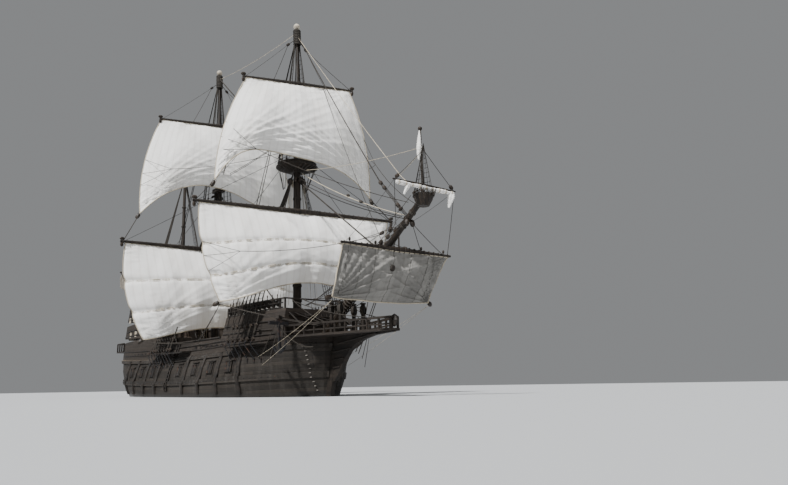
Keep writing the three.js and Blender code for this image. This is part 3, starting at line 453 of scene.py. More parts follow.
# Runs a tree on points and edges with their attributes, and gives the result to a body.
def runTree(name, tree, store, shape, attributes):
    mesh = meshOf(name, [p * shipMetre for p in store["points"]], store.get("edges", ()))
    for label, kind in attributes.items():
        layer = mesh.attributes.new(label, kind, "POINT")
        layer.data.foreach_set("value" if kind == "FLOAT" else "vector",
                               np.array(store[label], np.float32).ravel())
    holder = linked(name, mesh)
    modifier = holder.modifiers.new("nodes", "NODES")
    modifier.node_group = trees[tree]
    values = {"Shape": shape, "Finish": finishes[store["finish"]]}
    for item in trees[tree].interface.items_tree:
        if item.in_out == "INPUT" and item.name in values:
            modifier[item.identifier] = values[item.name]
    result = plainMesh(holder)
    bpy.data.objects.remove(holder)
    for label in [layer.name for layer in result.attributes if layer.name in attributes]:
        result.attributes.remove(result.attributes[label])
    piece = linked(name, result)
    if store.get("bend"):
        start, end = (tuple(Vector(p) * shipMetre) for p in store["bend"])
        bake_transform(piece, store["body"], "ship", start, end)
    else:
        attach(piece, store["body"])


outlines, shapes, sweeps, scatters = {}, {}, {}, {}


# An outline is a loop in the plane across the line: X points out of the surface it lies on.
def outlineOf(loop):
    if loop not in outlines:
        edges = [(i, (i + 1) % len(loop)) for i in range(len(loop))]
        outlines[loop] = bpy.data.objects.new("outline",
                                              meshOf("outline", [(x, y, 0) for x, y in loop], edges))
    return outlines[loop]


def roundLoop(sides):
    return tuple((math.cos(math.tau * i / sides), math.sin(math.tau * i / sides)) for i in range(sides))


def stripLoop(width, proud, sunk=0.03):
    return ((-sunk, -width / 2), (proud, -width / 2), (proud, width / 2), (-sunk, width / 2))


# Adds a line to be swept. bend holds the two points between which a line gives way from its body to the ship.
def sweep(name, finish, loop, points, out=(0, 0, 1), thick=1.0, body="ship", bend=None):
    store = sweeps.setdefault(name, {"body": body, "finish": finish, "loop": loop, "bend": bend, "points": [],
                                     "edges": [], "out": [], "thick": []})
    first, count = len(store["points"]), len(points)
    store["points"] += [Vector(p) for p in points]
    store["edges"] += [(first + i, first + i + 1) for i in range(count - 1)]
    store["out"] += [Vector(o) for o in out] if isinstance(out, list) else [Vector(out)] * count
    thick = thick if isinstance(thick, list) else [thick] * count
    store["thick"] += [t * shipMetre for t in thick]


shapeFinish = {"bolt": "iron", "deadeye": "blockWood", "block": "blockWood", "heart": "blockWood",
               "pin": "blockWood",
               "drum": "blockWood", "lashing": "tarredRope", "roundPatch": "tarredRope", "hoop": "iron",
               "ball": "brass", "truck": "paleWood", "window": "paleWood", "unitBox": "timber"}


# Sets a shape on a point, with its +Z along aim. A place of None is one that a ray missed.
def fit(name, shape, place, aim=(0, 0, 1), size=1.0, finish=None, body="ship", up=(0, 0, 1)):
    if place is None:
        return
    store = scatters.setdefault(name, {"body": body, "finish": finish or shapeFinish[shape], "shape": shape,
                                       "points": [], "turn": [], "size": []})
    aim = Vector(aim).normalized()
    side = next(way for way in (Vector(up).cross(aim), at(x=1).cross(aim),
                                at(y=1).cross(aim)) if way.length >= 1e-3)
    side.normalize()
    turn = Matrix((side, aim.cross(side), aim)).transposed()
    store["points"].append(Vector(place))
    store["turn"].append(tuple(turn.to_euler()))
    store["size"].append([s * shipMetre for s in ((size,) * 3 if isinstance(size, (int, float)) else size)])


def buildSwept():
    for name, store in sweeps.items():
        runTree(name, "sweep", store, outlineOf(store["loop"]), {"out": "FLOAT_VECTOR", "thick": "FLOAT"})
    for name, store in scatters.items():
        runTree(name, "scatter", store, shapes[store["shape"]],
                {"turn": "FLOAT_VECTOR", "size": "FLOAT_VECTOR"})


# Small shapes, in metres of the ship, with +Z along the line that they are set on

def addShape(name, points, faces):
    shapes[name] = bpy.data.objects.new(name, meshOf(name, points, (), faces))


# The faces of a tube of rings, each ring of sides points.
def tubeFaces(rings, sides, closed=False):
    return [(i * sides + j, i * sides + (j + 1) % sides, (i + 1) % rings * sides + (j + 1) % sides,
             (i + 1) % rings * sides + j) for i in range(rings if closed else rings - 1) for j in range(sides)]


def lathed(name, profile, sides):
    points = [circled(360 * i / sides, r, z=z) for r, z in profile for i in range(sides)]
    last = (len(profile) - 1) * sides
    ends = [tuple(reversed(range(sides))), tuple(last + i for i in range(sides))]
    addShape(name, points, tubeFaces(len(profile), sides) + ends)


def ringed(name, thick, around, sides=4):
    points = [circled(360 * i / around, 1 + thick * math.cos(math.tau * j / sides),
                      z=thick * math.sin(math.tau * j / sides)) for i in range(around) for j in range(sides)]
    addShape(name, points, [tuple(reversed(face)) for face in tubeFaces(around, sides, True)])


def boxed(name, blocks):
    points, faces = [], []
    corners = [(x, y, z) for z in (-0.5, 0.5) for y in (-0.5, 0.5) for x in (-0.5, 0.5)]
    for middle, lengths in blocks:
        first = len(points)
        points += [[m + length * c for m, length, c in zip(middle, lengths, corner)] for corner in corners]
        faces += [tuple(first + i for i in face) for face in
                  ((0, 2, 3, 1), (4, 5, 7, 6), (0, 1, 5, 4), (2, 6, 7, 3), (0, 4, 6, 2), (1, 3, 7, 5))]
    addShape(name, points, faces)


def addShapes():
    lathed("bolt", [(0.05, -0.02), (0.05, 0.02), (0.03, 0.045)], 6)
    lathed("deadeye", [(0.1, -0.08), (0.16, -0.07), (0.135, 0), (0.16, 0.07), (0.1, 0.08)], 8)
    lathed("block", [(0.05, -0.2), (0.12, -0.13), (0.14, 0), (0.12, 0.13), (0.05, 0.2)], 6)
    lathed("heart", [(0.08, -0.3), (0.2, -0.2), (0.24, 0), (0.18, 0.2), (0.07, 0.3)], 8)
    lathed("ball", [(0.04, -0.99), (0.7, -0.72), (1, 0), (0.7, 0.72), (0.04, 0.99)], 10)
    lathed("truck",
           [(0.15, -0.98), (0.5, -0.87), (0.77, -0.64), (0.95, -0.31), (1, 0), (0.95, 0.31), (0.77, 0.64),
                     (0.5, 0.87), (0.15, 0.98)], 20)
    lathed("roundPatch", [(0.9, -0.06), (1, 0), (0.9, 0.06)], 20)
    lathed("drum",
           [(0.45, 0), (0.45, 0.15), (0.3, 0.25), (0.3, 0.8), (0.42, 0.9), (0.42, 1.05), (0.2, 1.15)], 12)
    lathed("pin", [(0.04, -0.3), (0.04, 0.1), (0.06, 0.2), (0.02, 0.3)], 6)
    ringed("lashing", 0.16, 12)
    ringed("hoop", 0.08, 16)
    boxed("unitBox", [((0, 0, 0), (1, 1, 1))])
    bars = [((0, 0, 0.02), (0.07, 0.9, 0.05))]
    bars += [((0, y, 0.02), (0.9, 0.05, 0.04)) for y in (0.3, 0, -0.3)]
    bars += [((x, 0, 0.02), (0.04, 0.9, 0.04)) for x in (0.25, -0.25)]
    bars += [((0, y, 0.03), (1.06, 0.1, 0.1)) for y in (0.48, -0.48)]
    bars += [((x, 0, 0.03), (0.1, 1.06, 0.1)) for x in (0.48, -0.48)]
    boxed("window", bars)


addShapes()
print("trees and shapes")


# Where things are on the ship, in its metres

def spotsOf(name):
    return [v.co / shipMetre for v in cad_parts[name].data.vertices]


def boxOf(name):
    return [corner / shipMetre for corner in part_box(name)]


def treeOf(*names):
    points, faces = [], []
    for name in names:
        first = len(points)
        points += spotsOf(name)
        faces += [tuple(first + i for i in face.vertices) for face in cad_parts[name].data.polygons]
    return BVHTree.FromPolygons(points, faces)


sideTree = treeOf("hull", "waist_bulwark_stbd", "waist_bulwark_port", "half_deck", "quarter_deck",
                  "poop_deck",
                  "forecastle", "beakhead")
headTree = treeOf("head_knee", "hull", "keel")
outboard = 14.0  # the rays at the ship's side start this far out


def hit(tree, start, way, reach=100.0):
    return tree.ray_cast(Vector(start), Vector(way), reach)[:2]


# The point on the ship's side at x and z, proud of it, with the way out.
def onSide(x, z, side, proud=0.0, tree=sideTree):
    place, normal = hit(tree, (x, outboard * side, z), (0, -side, 0))
    if place is None:
        return None, None
    flat = at(normal.x, normal.y).normalized()
    return place + flat * proud, flat


def onDeck(x, y, top):
    return hit(sideTree, (x, y, top), (0, 0, -1))[0]


# Sweeps a strip through places with their ways out, past those that a ray missed or that lie beyond reach.
def strip(name, finish, size, found, out=None, body="ship", reach=outboard):
    found = [(place, way) for place, way in found if place is not None and abs(place.y) < reach]
    if len(found) > 1:
        points, ways = zip(*found)
        sweep(name, finish, stripLoop(*size), points, out or list(ways), body=body)


def beam(name, size, a, b, out=(0, 0, 1), finish="timber"):
    sweep(name, finish, stripLoop(*size), [a, b], out)


# A place given for the port side, on this side.
def mirrored(place, side):
    return Vector(place) * at(1, side, 1)


# A line from a to b that hangs by sag at its middle.
def hung(a, b, sag=0.0, count=9):
    return [between(a, b, t) - at(z=sag * 4 * t * (1 - t)) for t in steps(0, 1, count)]


def within(share):
    return max(0.0, min(1.0, share))


masts = {
    "fore": {"x": 12.5, "rake": 1.46, "foot": 5.6, "top": 17.95, "head": 19.9, "truck": 30.43, "spacing": 0.5,
             "radii": (0.33, 0.27), "topRadius": 1.63},
    "main": {"x": -2.15, "rake": 2.32, "foot": 3.36, "top": 17.5, "head": 19.6, "truck": 31.94,
             "spacing": 0.56,
             "radii": (0.38, 0.30), "topRadius": 1.5},
    "mizzen": {"x": -10.41, "rake": 2.0},
}
mastDatum = 4.0


# The middle of a mast at height z, or of its topmast, which stands ahead of it and leans towards it.
def mastAt(name, z, onTopmast=False):
    mast = masts[name]
    x = mast["x"] - math.tan(math.radians(mast["rake"])) * (z - mastDatum)
    if onTopmast:
        x += mast["spacing"] * (1 - within((z - mast["top"]) / (mast["truck"] - mast["top"])))
    return at(x, 0, z)


def mastRadius(name, z):
    mast = masts[name]
    low, high = mast["radii"]
    return low + (high - low) * within((z - mast["foot"]) / (mast["head"] - mast["foot"]))


bowsprit = {"heel": at(15.0, 0, 3.38), "end": at(27.05, 0, 11.88)}
bowspritWay = bowsprit["end"] - bowsprit["heel"]
spritPole = {"x": 27.42, "z": 12.45, "lean": 2.2, "top": 11.95}


def onBowsprit(share, rise=0.0):
    return between(bowsprit["heel"], bowsprit["end"], share) + at(z=rise)


def spritPoleAt(z):
    return at(spritPole["x"] + math.tan(math.radians(spritPole["lean"])) * (z - spritPole["z"]), 0, z)


# Each square yard: its half length, the angle it is braced to, and its radii at the middle and the ends
yards = {
    "fore": {"half": 8.31, "brace": 9.8, "radii": (0.2, 0.1)},
    "fore_topsail": {"half": 4.6, "brace": 17.7, "radii": (0.14, 0.07)},
    "main": {"half": 8.95, "brace": 3.5, "radii": (0.22, 0.11)},
    "main_topsail": {"half": 5.7, "brace": 15.4, "radii": (0.15, 0.08)},
    "spritsail": {"half": 4.48, "brace": 0.0, "radii": (0.15, 0.08)},
    "sprit_topsail": {"half": 2.57, "brace": 0.0, "radii": (0.08, 0.045)},
}


# The body and node of each yard, its two directions, and its centre halfway between its end faces.
def measureYards():
    for name, row in yards.items():
        row["body"], row["node"] = name + "_brace", name + "_yard"
        row["ahead"], row["along"] = circled(-row["brace"], 1), circled(90 - row["brace"], 1)
        places = spotsOf(row["node"])
        reach = [place.dot(row["along"]) for place in places]
        ends = []
        for end in (min(reach), max(reach)):
            near = [place for place, share in zip(places, reach) if abs(share - end) < 0.02]
            ends.append(sum(near, at()) / len(near))
        row["centre"] = (ends[0] + ends[1]) / 2


def onYard(name, share, drop=0.0, ahead=0.0):
    row = yards[name]
    return row["centre"] + row["along"] * (row["half"] * share) + row["ahead"] * ahead - at(z=drop)


def yardRadius(name, share):
    low, high = yards[name]["radii"]
    return low + (high - low) * abs(share)


measureYards()
print("places")


# Sails

sailGap = 0.003
clothRows, clothColumns = 84, 72
boltRope, clothThick = 0.045, 0.014
anySail = {"deepest": 0.6, "lean": 0.0, "curve": (2, 1), "bonnets": (), "finish": "canvas", "seams": (),
           "patches": ()}
# Each sail: its head's share of the yard, how far it bellies ahead and where it is deepest, the rise of
# its foot with its curve and lean, how far its leeches stand out, its clews, its bonnets' seams, and its folds
sails = {
    "fore_course": {"yard": "fore", "headReach": 0.94, "belly": 1.7, "deepest": 0.62, "arch": 1.05,
                    "curve": (2, 2), "leech": (0.5, 0.3), "clews": ((12.45, -6.4, 6.75), (13.6, 6.0, 7.9)),
                    "bonnets": (0.42, 0.74), "seed": 3, "folds": 0.9},
    "fore_topsail": {"yard": "fore_topsail", "headReach": 0.93, "belly": 1.5, "arch": 2.4, "lean": -0.3,
                     "curve": (4, 1), "leech": (0.55, 0.55),
                     "clews": ((11.9, -6.85, 15.85), (14.1, 5.8, 15.85)),
                     "seed": 8, "folds": 1.2},
    "main_course": {"yard": "main", "headReach": 0.95, "belly": 1.9, "deepest": 0.62, "arch": 1.15,
                    "curve": (2, 1.5), "leech": (0.75, 0.5), "clews": ((-2.0, -6.69, 4.9), (-1.2, 6.7, 4.9)),
                    "bonnets": (0.4, 0.72), "seed": 5, "folds": 0.9},
    "main_topsail": {"yard": "main_topsail", "headReach": 0.97, "belly": 1.5, "arch": 3.1, "lean": -0.35,
                     "leech": (0.6, 0.5), "clews": ((-2.6, -7.38, 16.17), (-1.6, 7.3, 16.17)), "seed": 11,
                     "folds": 1.0},
    # The spritsail takes the dark canvas, whose grey is partly wear and partly painted shade.
    "spritsail": {"yard": "spritsail", "headReach": 0.96, "belly": 0.5, "arch": -0.2, "leech": (0.0, 0.0),
                  "clews": ((24.3, -4.7, 5.95), (23.9, 3.3, 6.1)), "finish": "wornCanvas", "seed": 17,
                  "folds": 1.3, "seams": (-0.9, -0.66, -0.42, -0.08, 0.26, 0.58, 0.76),
                  "patches": ((-0.09, 0.35, 0.22),)},
}
sails = {name: {**anySail, **row} for name, row in sails.items()}


def lerp(a, b, t):
    return a + (b - a) * t


# The sail's smooth form at arrays of across (-1 starboard to 1 port) and down (0 head to 1 foot).
def sailForm(row, across, down):
    yard = yards[row["yard"]]
    centre, along, ahead = (np.array(yard[key]) for key in ("centre", "along", "ahead"))
    head = centre + along * (yard["half"] * row["headReach"] * across)[..., None]
    head[..., 2] -= lerp(*yard["radii"], np.abs(across) * row["headReach"]) + sailGap
    clews = np.array(row["clews"])
    foot = lerp(clews[0], clews[1], (across[..., None] + 1) / 2)
    power, outer = row["curve"]
    foot[..., 2] += row["arch"] * (1 - np.abs(across) ** power) ** outer * (1 + row["lean"] * across)
    swell = row["belly"] * (1 - across ** 4) * (1 - ((down - row["deepest"]) / row["deepest"]) ** 2)
    leech = np.where(across < 0, *row["leech"])
    bulge = leech * across ** 3 * 4 * down * (1 - down)
    return lerp(head, foot, down[..., None]) + ahead * swell[..., None] + along * bulge[..., None]


# A crease with a sharp crest, from -1 to 1.
def crease(phase):
    return 1 - 2 * np.abs(np.sin(phase)) ** 0.7


swells = {"count": 6, "turn": (-0.5, 0.5), "length": (1.8, 4.5), "depth": 0.025}
clewFan = {"depth": 0.085, "reach": 4.2, "fans": 17}
headFan = {"depth": 0.05, "reach": 2.4, "fans": 12}
hems = {"deep": -0.09, "deepWidth": 0.2, "pucker": 0.035, "puckerWidth": 0.45, "every": 0.31}


# Folds in the cloth: swells, creases that fan from its corners, slack low down, and puckers at the seams.
def sailFolds(row, across, down, width, height):
    rng = np.random.default_rng(row["seed"])
    u, v = across * width / 2, down * height
    fold = np.zeros_like(u)
    for _ in range(swells["count"]):
        turn, length = rng.uniform(*swells["turn"]), rng.uniform(*swells["length"])
        phase = math.tau * (u * math.cos(turn) + v * math.sin(turn)) / length
        fold += swells["depth"] * np.sin(phase + rng.uniform(0, math.tau))
    for side in (-1, 1):
        for fan, rise in ((clewFan, height - v), (headFan, v)):
            run = side * width / 2 - u
            far, angle = np.hypot(run, rise), np.arctan2(rise, side * run)
            bend = angle * rng.uniform(fan["fans"] * 0.9, fan["fans"] * 1.1)
            bend += 0.25 * np.sin(far * 0.9 + rng.uniform(0, 6))
            for depth, reach, times in ((1, 1, 1), (0.5, 1.5, 1.9)):
                fade = np.clip(far / 0.6, 0, 1) * np.exp(-far / (fan["reach"] * reach))
                fold += fan["depth"] * depth * fade * crease(bend * times + rng.uniform(0, 3))
    low = np.clip((v - 0.45 * height) / (0.55 * height), 0, 1)
    slack = crease((u * 0.55 + v * 0.85) * 2.6 + 0.6 * np.sin(u * 1.1))
    fold += 0.035 * low * slack * np.clip(np.sin(u * 0.5 + row["seed"]) + 0.4, 0, 1)
    fold += 0.045 * np.exp(-v / 0.8) * np.cos(math.pi * u / canvasCut["clothWidth"])
    fold += 0.014 * (1 - np.abs(np.sin(math.pi * u / canvasCut["clothWidth"])) ** 0.5)
    for seam in row["bonnets"]:
        near = (down - seam) * height
        fold += hems["deep"] * np.exp(-(near / hems["deepWidth"]) ** 2)
        fold += hems["pucker"] * np.exp(-(near / hems["puckerWidth"]) ** 2) * crease(math.pi * u / hems["every"])
    return fold * row["folds"]


def sailPoints(name, across, down):
    row = sails[name]
    across, down = np.broadcast_arrays(np.asarray(across, float), np.asarray(down, float))
    yard = yards[row["yard"]]
    width = 2 * yard["half"] * row["headReach"]
    height = float(yard["centre"].z - (row["clews"][0][2] + row["clews"][1][2]) / 2)
    fold = sailFolds(row, across, down, width, height) * np.clip(down / 0.03, 0, 1)
    place = sailForm(row, across, down) + np.array(yard["ahead"]) * fold[..., None]
    for seam in row["bonnets"]:
        pinch = 0.16 * np.exp(-(((down - seam) * height) / 0.3) ** 2) * np.clip((np.abs(across) - 0.7) / 0.3,
                                                                                0, 1)
        place = place - np.array(yard["along"]) * (np.sign(across) * pinch)[..., None]
    return place


def onSail(name, across, down):
    return Vector(sailPoints(name, across, down))


# Gives a cloth its UV map, in metres of the ship, and smooth faces.
def mapCloth(mesh, uvs):
    corners = [loop.vertex_index for loop in mesh.loops]
    flat = np.array(uvs, np.float32).reshape(-1, 2)[corners].ravel()
    mesh.uv_layers.new(name="cloth").data.foreach_set("uv", flat)
    mesh.polygons.foreach_set("use_smooth", [True] * len(mesh.polygons))


# A sheet of cloth from a grid of points, with its thickness.
def solidCloth(name, points, uvs, finish, body, thick):
    rows, columns = points.shape[:2]
    faces = [(r * columns + c, r * columns + c + 1, (r + 1) * columns + c + 1, (r + 1) * columns + c)
             for r in range(rows - 1) for c in range(columns - 1)]
    mesh = meshOf(name, points.reshape(-1, 3) * shipMetre, (), faces)
    mapCloth(mesh, uvs)
    piece = linked(name, mesh, finishes[finish])
    modifier = piece.modifiers.new("thickness", "SOLIDIFY")
    modifier.thickness, modifier.offset = thick * shipMetre, 0.0
    solid = plainMesh(piece)
    piece.modifiers.clear()
    piece.data = solid
    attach(piece, body)
    return piece


# The length of a row of points in the model's metres.
def lengthOf(points):
    return float(np.linalg.norm(np.diff(points, axis=0), axis=1).sum()) * shipMetre


def buildSails():
    across, down = np.meshgrid(np.linspace(-1, 1, clothColumns + 1), np.linspace(0, 1, clothRows + 1))
    for name, row in sails.items():
        yard = yards[row["yard"]]
        points = sailPoints(name, across, down)
        half = np.linalg.norm(points[:, -1] - points[:, 0], axis=1).max() / 2
        width, height = lengthOf(points[clothRows // 2]), lengthOf(points[:, clothColumns // 2])
        uvs = np.stack([across * half, down * height / shipMetre], axis=-1)
        piece = solidCloth(name + "_cloth", points, uvs, row["finish"], yard["body"], clothThick)
        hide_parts(name)
        dressSail(name, row, yard)


hem = np.linspace(-0.995, 0.995, 61)
lacing = {"holes": 141, "zig": 0.02, "drop": 0.11, "away": 0.03, "thick": 0.016, "hemThick": 0.024}
seamLine = {"away": 0.012, "thick": 0.011}


# Bolt ropes round the sail, the lacing of its bonnets, and the ties that hold its head to the yard.
def dressSail(name, row, yard):
    body, ahead = yard["body"], yard["ahead"]

    def cord(part, points, thick, sides=4, finish="hempRope"):
        sweep(name + part, finish, roundLoop(sides), points, tuple(ahead), thick, body)

    for across, down in ((np.linspace(-1, 1, 40), 0.0), (np.linspace(-1, 1, 60), 1.0),
                         (-1.0, np.linspace(0, 1, 60)), (1.0, np.linspace(0, 1, 60))):
        cord("_bolt_rope", sailPoints(name, across, down), boltRope, 5)
    for seam in row["bonnets"]:
        spots = sailPoints(name, np.linspace(-0.995, 0.995, lacing["holes"]), seam)
        zigzag = [Vector(p) + ahead * (lacing["zig"] * (-1) ** i) - at(z=lacing["drop"] * (i % 2))
                  for i, p in enumerate(spots)]
        for away in (lacing["away"], -lacing["away"]):
            cord("_lacing", [p + ahead * away for p in zigzag], lacing["thick"])
        for shift in (-0.004, 0.016):
            cord("_bonnet_hem", sailPoints(name, hem, seam + shift), lacing["hemThick"])
    for across in row["seams"]:
        for away in (seamLine["away"], -seamLine["away"]):
            spots = sailPoints(name, across, np.linspace(0.02, 0.985, 40))
            cord("_seams", [Vector(p) + ahead * away for p in spots], seamLine["thick"], finish="tarredRope")
    for across, down, size in row["patches"]:
        place = onSail(name, across, down)
        aside, below = onSail(name, across + 0.04, down) - place, onSail(name, across, down + 0.04) - place
        fit(name + "_patches", "roundPatch", place, below.cross(aside), (size, size, 1.3), body=body)
    ties = int(yard["half"] * row["headReach"] / 0.42)
    for i in range(-ties, ties + 1):
        share = i / ties * row["headReach"] * 0.985
        radius = yardRadius(row["yard"], share) * 1.03
        fit(name + "_ties", "lashing", onYard(row["yard"], share, drop=0.012), yard["along"],
            (radius + 0.02, radius + 0.035, 0.10), body=body)
    for edge in (-1.0, 1.0):
        corner = onSail(name, edge, 1.0)
        inward = (onSail(name, edge * 0.9, 0.96) - corner).normalized()
        fit(name + "_clew_rings", "hoop", corner - inward * 0.06, ahead, 0.14, body=body)
        fit(name + "_clew_blocks", "block", corner - inward * 0.32, inward, (0.9, 1.3, 1.3), body=body)


buildSails()
print("sails")


# The nodes that stay as they are take the finishes

nodeFinishes = {
    "hullPlanks": "hull",
    "upperPlanks": "half_deck quarter_deck poop_deck forecastle beakhead waist_bulwark_stbd waist_bulwark_port "
                   "stern_gallery",
    "timber": "keel head_knee rudder forecastle_rail fore_channel_stbd fore_channel_port main_channel_stbd "
              "main_channel_port",
    "mast": "foremast mainmast mizzenmast fore_topmast main_topmast bowsprit sprit_topmast fore_top main_top",
    "yard": "fore_yard fore_topsail_yard main_yard main_topsail_yard spritsail_yard sprit_topsail_yard mizzen_yard",
    "tarredRope": "forestay mainstay",
    "iron": "anchor_stbd anchor_port",
    "lanternGlass": "stern_lantern",
}


def paintNodes():
    rows = [(node, finish) for finish, names in nodeFinishes.items() for node in names.split()]
    rows += [(node, "hullPlanks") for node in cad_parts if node.startswith("gunport_lid")]
    for node, finish in rows:
        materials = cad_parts[node].data.materials
        materials.clear()
        materials.append(finishes[finish])


paintNodes()


# Rigging. Each line is a row of points, and one that leaves a yard or a sail gives way towards the ship.

rope = {"shroud": 0.042, "ratline": 0.018, "stay": 0.06, "running": 0.028, "light": 0.02}


def line(name, points, thick, finish="tarredRope", body="ship", bend=None, sides=5):
    sweep(name, finish, roundLoop(sides), points, (0.3, 0.2, 1), thick, body, bend)


shroudSets = {
    "fore": {"channel": "fore_channel", "feet": (10.45, 13.35, 6), "top": 17.1, "spread": 0.42},
    "main": {"channel": "main_channel", "feet": (-4.95, -0.4, 8), "top": 16.5, "spread": 0.46},
    "mizzen": {"channel": None, "feet": (-12.3, -10.5, 4), "top": 22.0, "spread": 0.2},
}
shroud = {"lowEye": 0.22, "highEye": 1.25, "lanyards": (-0.09, 0, 0.09), "ratlines": 0.4, "narrowFrom": 0.72,
          "mizzenFoot": 6.3, "polePart": 0.012, "pole": 0.035, "chainDrop": 1.15, "chain": (0.09, 0.03, 0.01)}


def shroudFoot(channel, x, side):
    if not channel:
        return onSide(x, shroud["mizzenFoot"], side, 0.05)[0]
    node = f"{channel}_{sideNames[side]}"
    low, high = boxOf(node)
    tree = treeOf(node)
    edges = [onSide(x, z, side, tree=tree)[0] for z in ((low.z + high.z) / 2, low.z + 0.06)]
    edge = edges[0] or edges[1]
    return edge and at(x, edge.y - 0.12 * side, high.z + 0.02)


# The iron that holds a shroud's lower deadeye to the hull below its channel.
def addChain(kind, low, foot, hullX, side):
    fast, flat = onSide(hullX, foot.z - shroud["chainDrop"], side, 0.03)
    if fast is None:
        return
    sweep(f"{kind}_chains", "iron", stripLoop(*shroud["chain"]),
          [low + at(y=side * 0.06), at(foot.x, foot.y + side * 0.16, foot.z - 0.16), fast + at(y=side * 0.02),
           fast - at(z=0.3)], (0, side, 0))
    fit(f"{kind}_chain_bolts", "bolt", fast + flat * 0.02, flat, 1.3)


def buildShrouds():
    for kind, row in shroudSets.items():
        for side, tag in sideNames.items():
            name = f"{kind}_shrouds_{tag}"
            legs = []
            for i, x in enumerate(steps(*row["feet"])):
                foot = shroudFoot(row["channel"], x, side)
                if foot is None:
                    continue
                head = mastAt(kind, row["top"] + 0.05 * i) + at(-0.12 + 0.05 * i, side * row["spread"])
                run = (head - foot).normalized()
                low, high = foot + run * shroud["lowEye"], foot + run * shroud["highEye"]
                for place in (low, high):
                    fit(f"{kind}_deadeyes", "deadeye", place, (0, side, -0.4))
                for shift in shroud["lanyards"]:
                    aside = at(shift, side * 0.05)
                    line(name + "_lanyards", [low + aside, high + aside], rope["light"] * 0.8, sides=4)
                line(name, [high, head], rope["shroud"])
                legs.append((high, head))
                if row["channel"]:
                    addChain(kind, low - run * 0.1, foot, x + 0.06 * (i - 2), side)
            rows = int((legs[0][1].z - legs[0][0].z) / shroud["ratlines"])
            for k in range(1, rows - 1):
                spots = [between(low, high, k / rows) - at(z=0.03 * (j % 2)) for j,
                         (low, high) in enumerate(legs)]
                line(name + "_ratlines", spots if k / rows < shroud["narrowFrom"] else spots[1:-1],
                     rope["ratline"],
                     sides=4)
            sweep(name + "_sheer_pole", "timber", roundLoop(4),
                  [between(*leg, shroud["polePart"]) for leg in legs],
                  thick=shroud["pole"])


topmastSets = {
    "fore": {"hounds": 29.9, "rim": 1.5, "footLower": 16.1},
    "main": {"hounds": 31.4, "rim": 1.38, "footLower": 15.6},
}
topmast = {"angles": (64, 84, 104, 124, 144), "fallAngles": (95, 125, 155), "eyes": (0.12, 0.62),
           "rimRise": 0.26,
           "ratlines": 0.42, "ball": 0.6, "lashings": (-1.1, 0.12, 9)}


# The light ball on a topmast's head, over the one of its node.
def addTruck(kind):
    top = boxOf(kind + "_topmast")[1].z
    ball = [place for place in spotsOf(kind + "_topmast") if place.z > top - topmast["ball"]]
    middle = sum(ball, at()) / len(ball)
    radius = max(math.hypot(place.x - middle.x, place.y - middle.y) for place in ball)
    fit("trucks", "truck", at(middle.x, middle.y, top - radius), size=radius * 1.04)


def buildTopmastShrouds():
    for kind, row in topmastSets.items():
        top, hounds = masts[kind]["top"], row["hounds"]
        addTruck(kind)
        low, high, count = topmast["lashings"]
        for z in steps(hounds + low, hounds + high, count):
            fit(f"{kind}_masthead_rings", "lashing", mastAt(kind, z, True), size=(0.29, 0.29, 0.5))
        for side, tag in sideNames.items():
            name = f"{kind}_topmast_shrouds_{tag}"
            head = mastAt(kind, hounds, True) + at(y=side * 0.1)
            legs = []
            for angle in topmast["angles"]:
                rim = mastAt(kind, top) + circled(side * angle, row["rim"], z=topmast["rimRise"])
                run = (head - rim).normalized()
                for share in topmast["eyes"]:
                    fit(f"{kind}_top_deadeyes", "deadeye", rim + run * share, (0, side, -0.2), 0.62)
                line(name, [between(rim, head, share) for share in (0, 0.84, 0.88, 1)],
                     [rope["shroud"] * size for size in (1, 1, 1.9, 2.1)])
                legs.append((rim + run * topmast["eyes"][1], head))
                lower = mastAt(kind, row["footLower"]) + at(-0.3 + circled(angle, 0.25).x, side * 0.98)
                line(f"{kind}_futtocks", [rim - at(z=0.3), lower], rope["shroud"] * 0.75)
            for angle in topmast["fallAngles"]:
                line(f"{kind}_topmast_falls", [mastAt(kind, hounds - 0.3, True) + at(-0.08, 0.08 * side),
                                               mastAt(kind, top + 0.5, True) + circled(side * angle, 0.42)],
                     rope["running"])
            count = int((hounds - top) / topmast["ratlines"])
            for k in range(1, count - 3):
                line(name + "_ratlines", [between(a, b, k / count) for a, b in legs], rope["ratline"] * 0.9,
                     sides=4)


stays = {"tackle": (23.5, -0.3, 13.94), "spritEnd": (26.0, 0, 10.95),
         "knee": ((20.45, -0.22, 2.95), (20.15, 0.22, 2.85)),
         "backstays": {"fore": ((8.5, 5.15), (9.3, 5.2)), "main": ((-5.9, 4.4), (-6.8, 5.9))},
         "preventers": ((0.25, "hempRope", 0.0), (-0.2, "tarredRope", -0.35), (0.05, "tarredRope", -0.75)),
         "preventerEnd": (25.4, 11.4), "gammoning": (0.30, 0.408, 7),
         "wooldings": (0.42, 0.55, 0.70, 0.86, 0.94)}


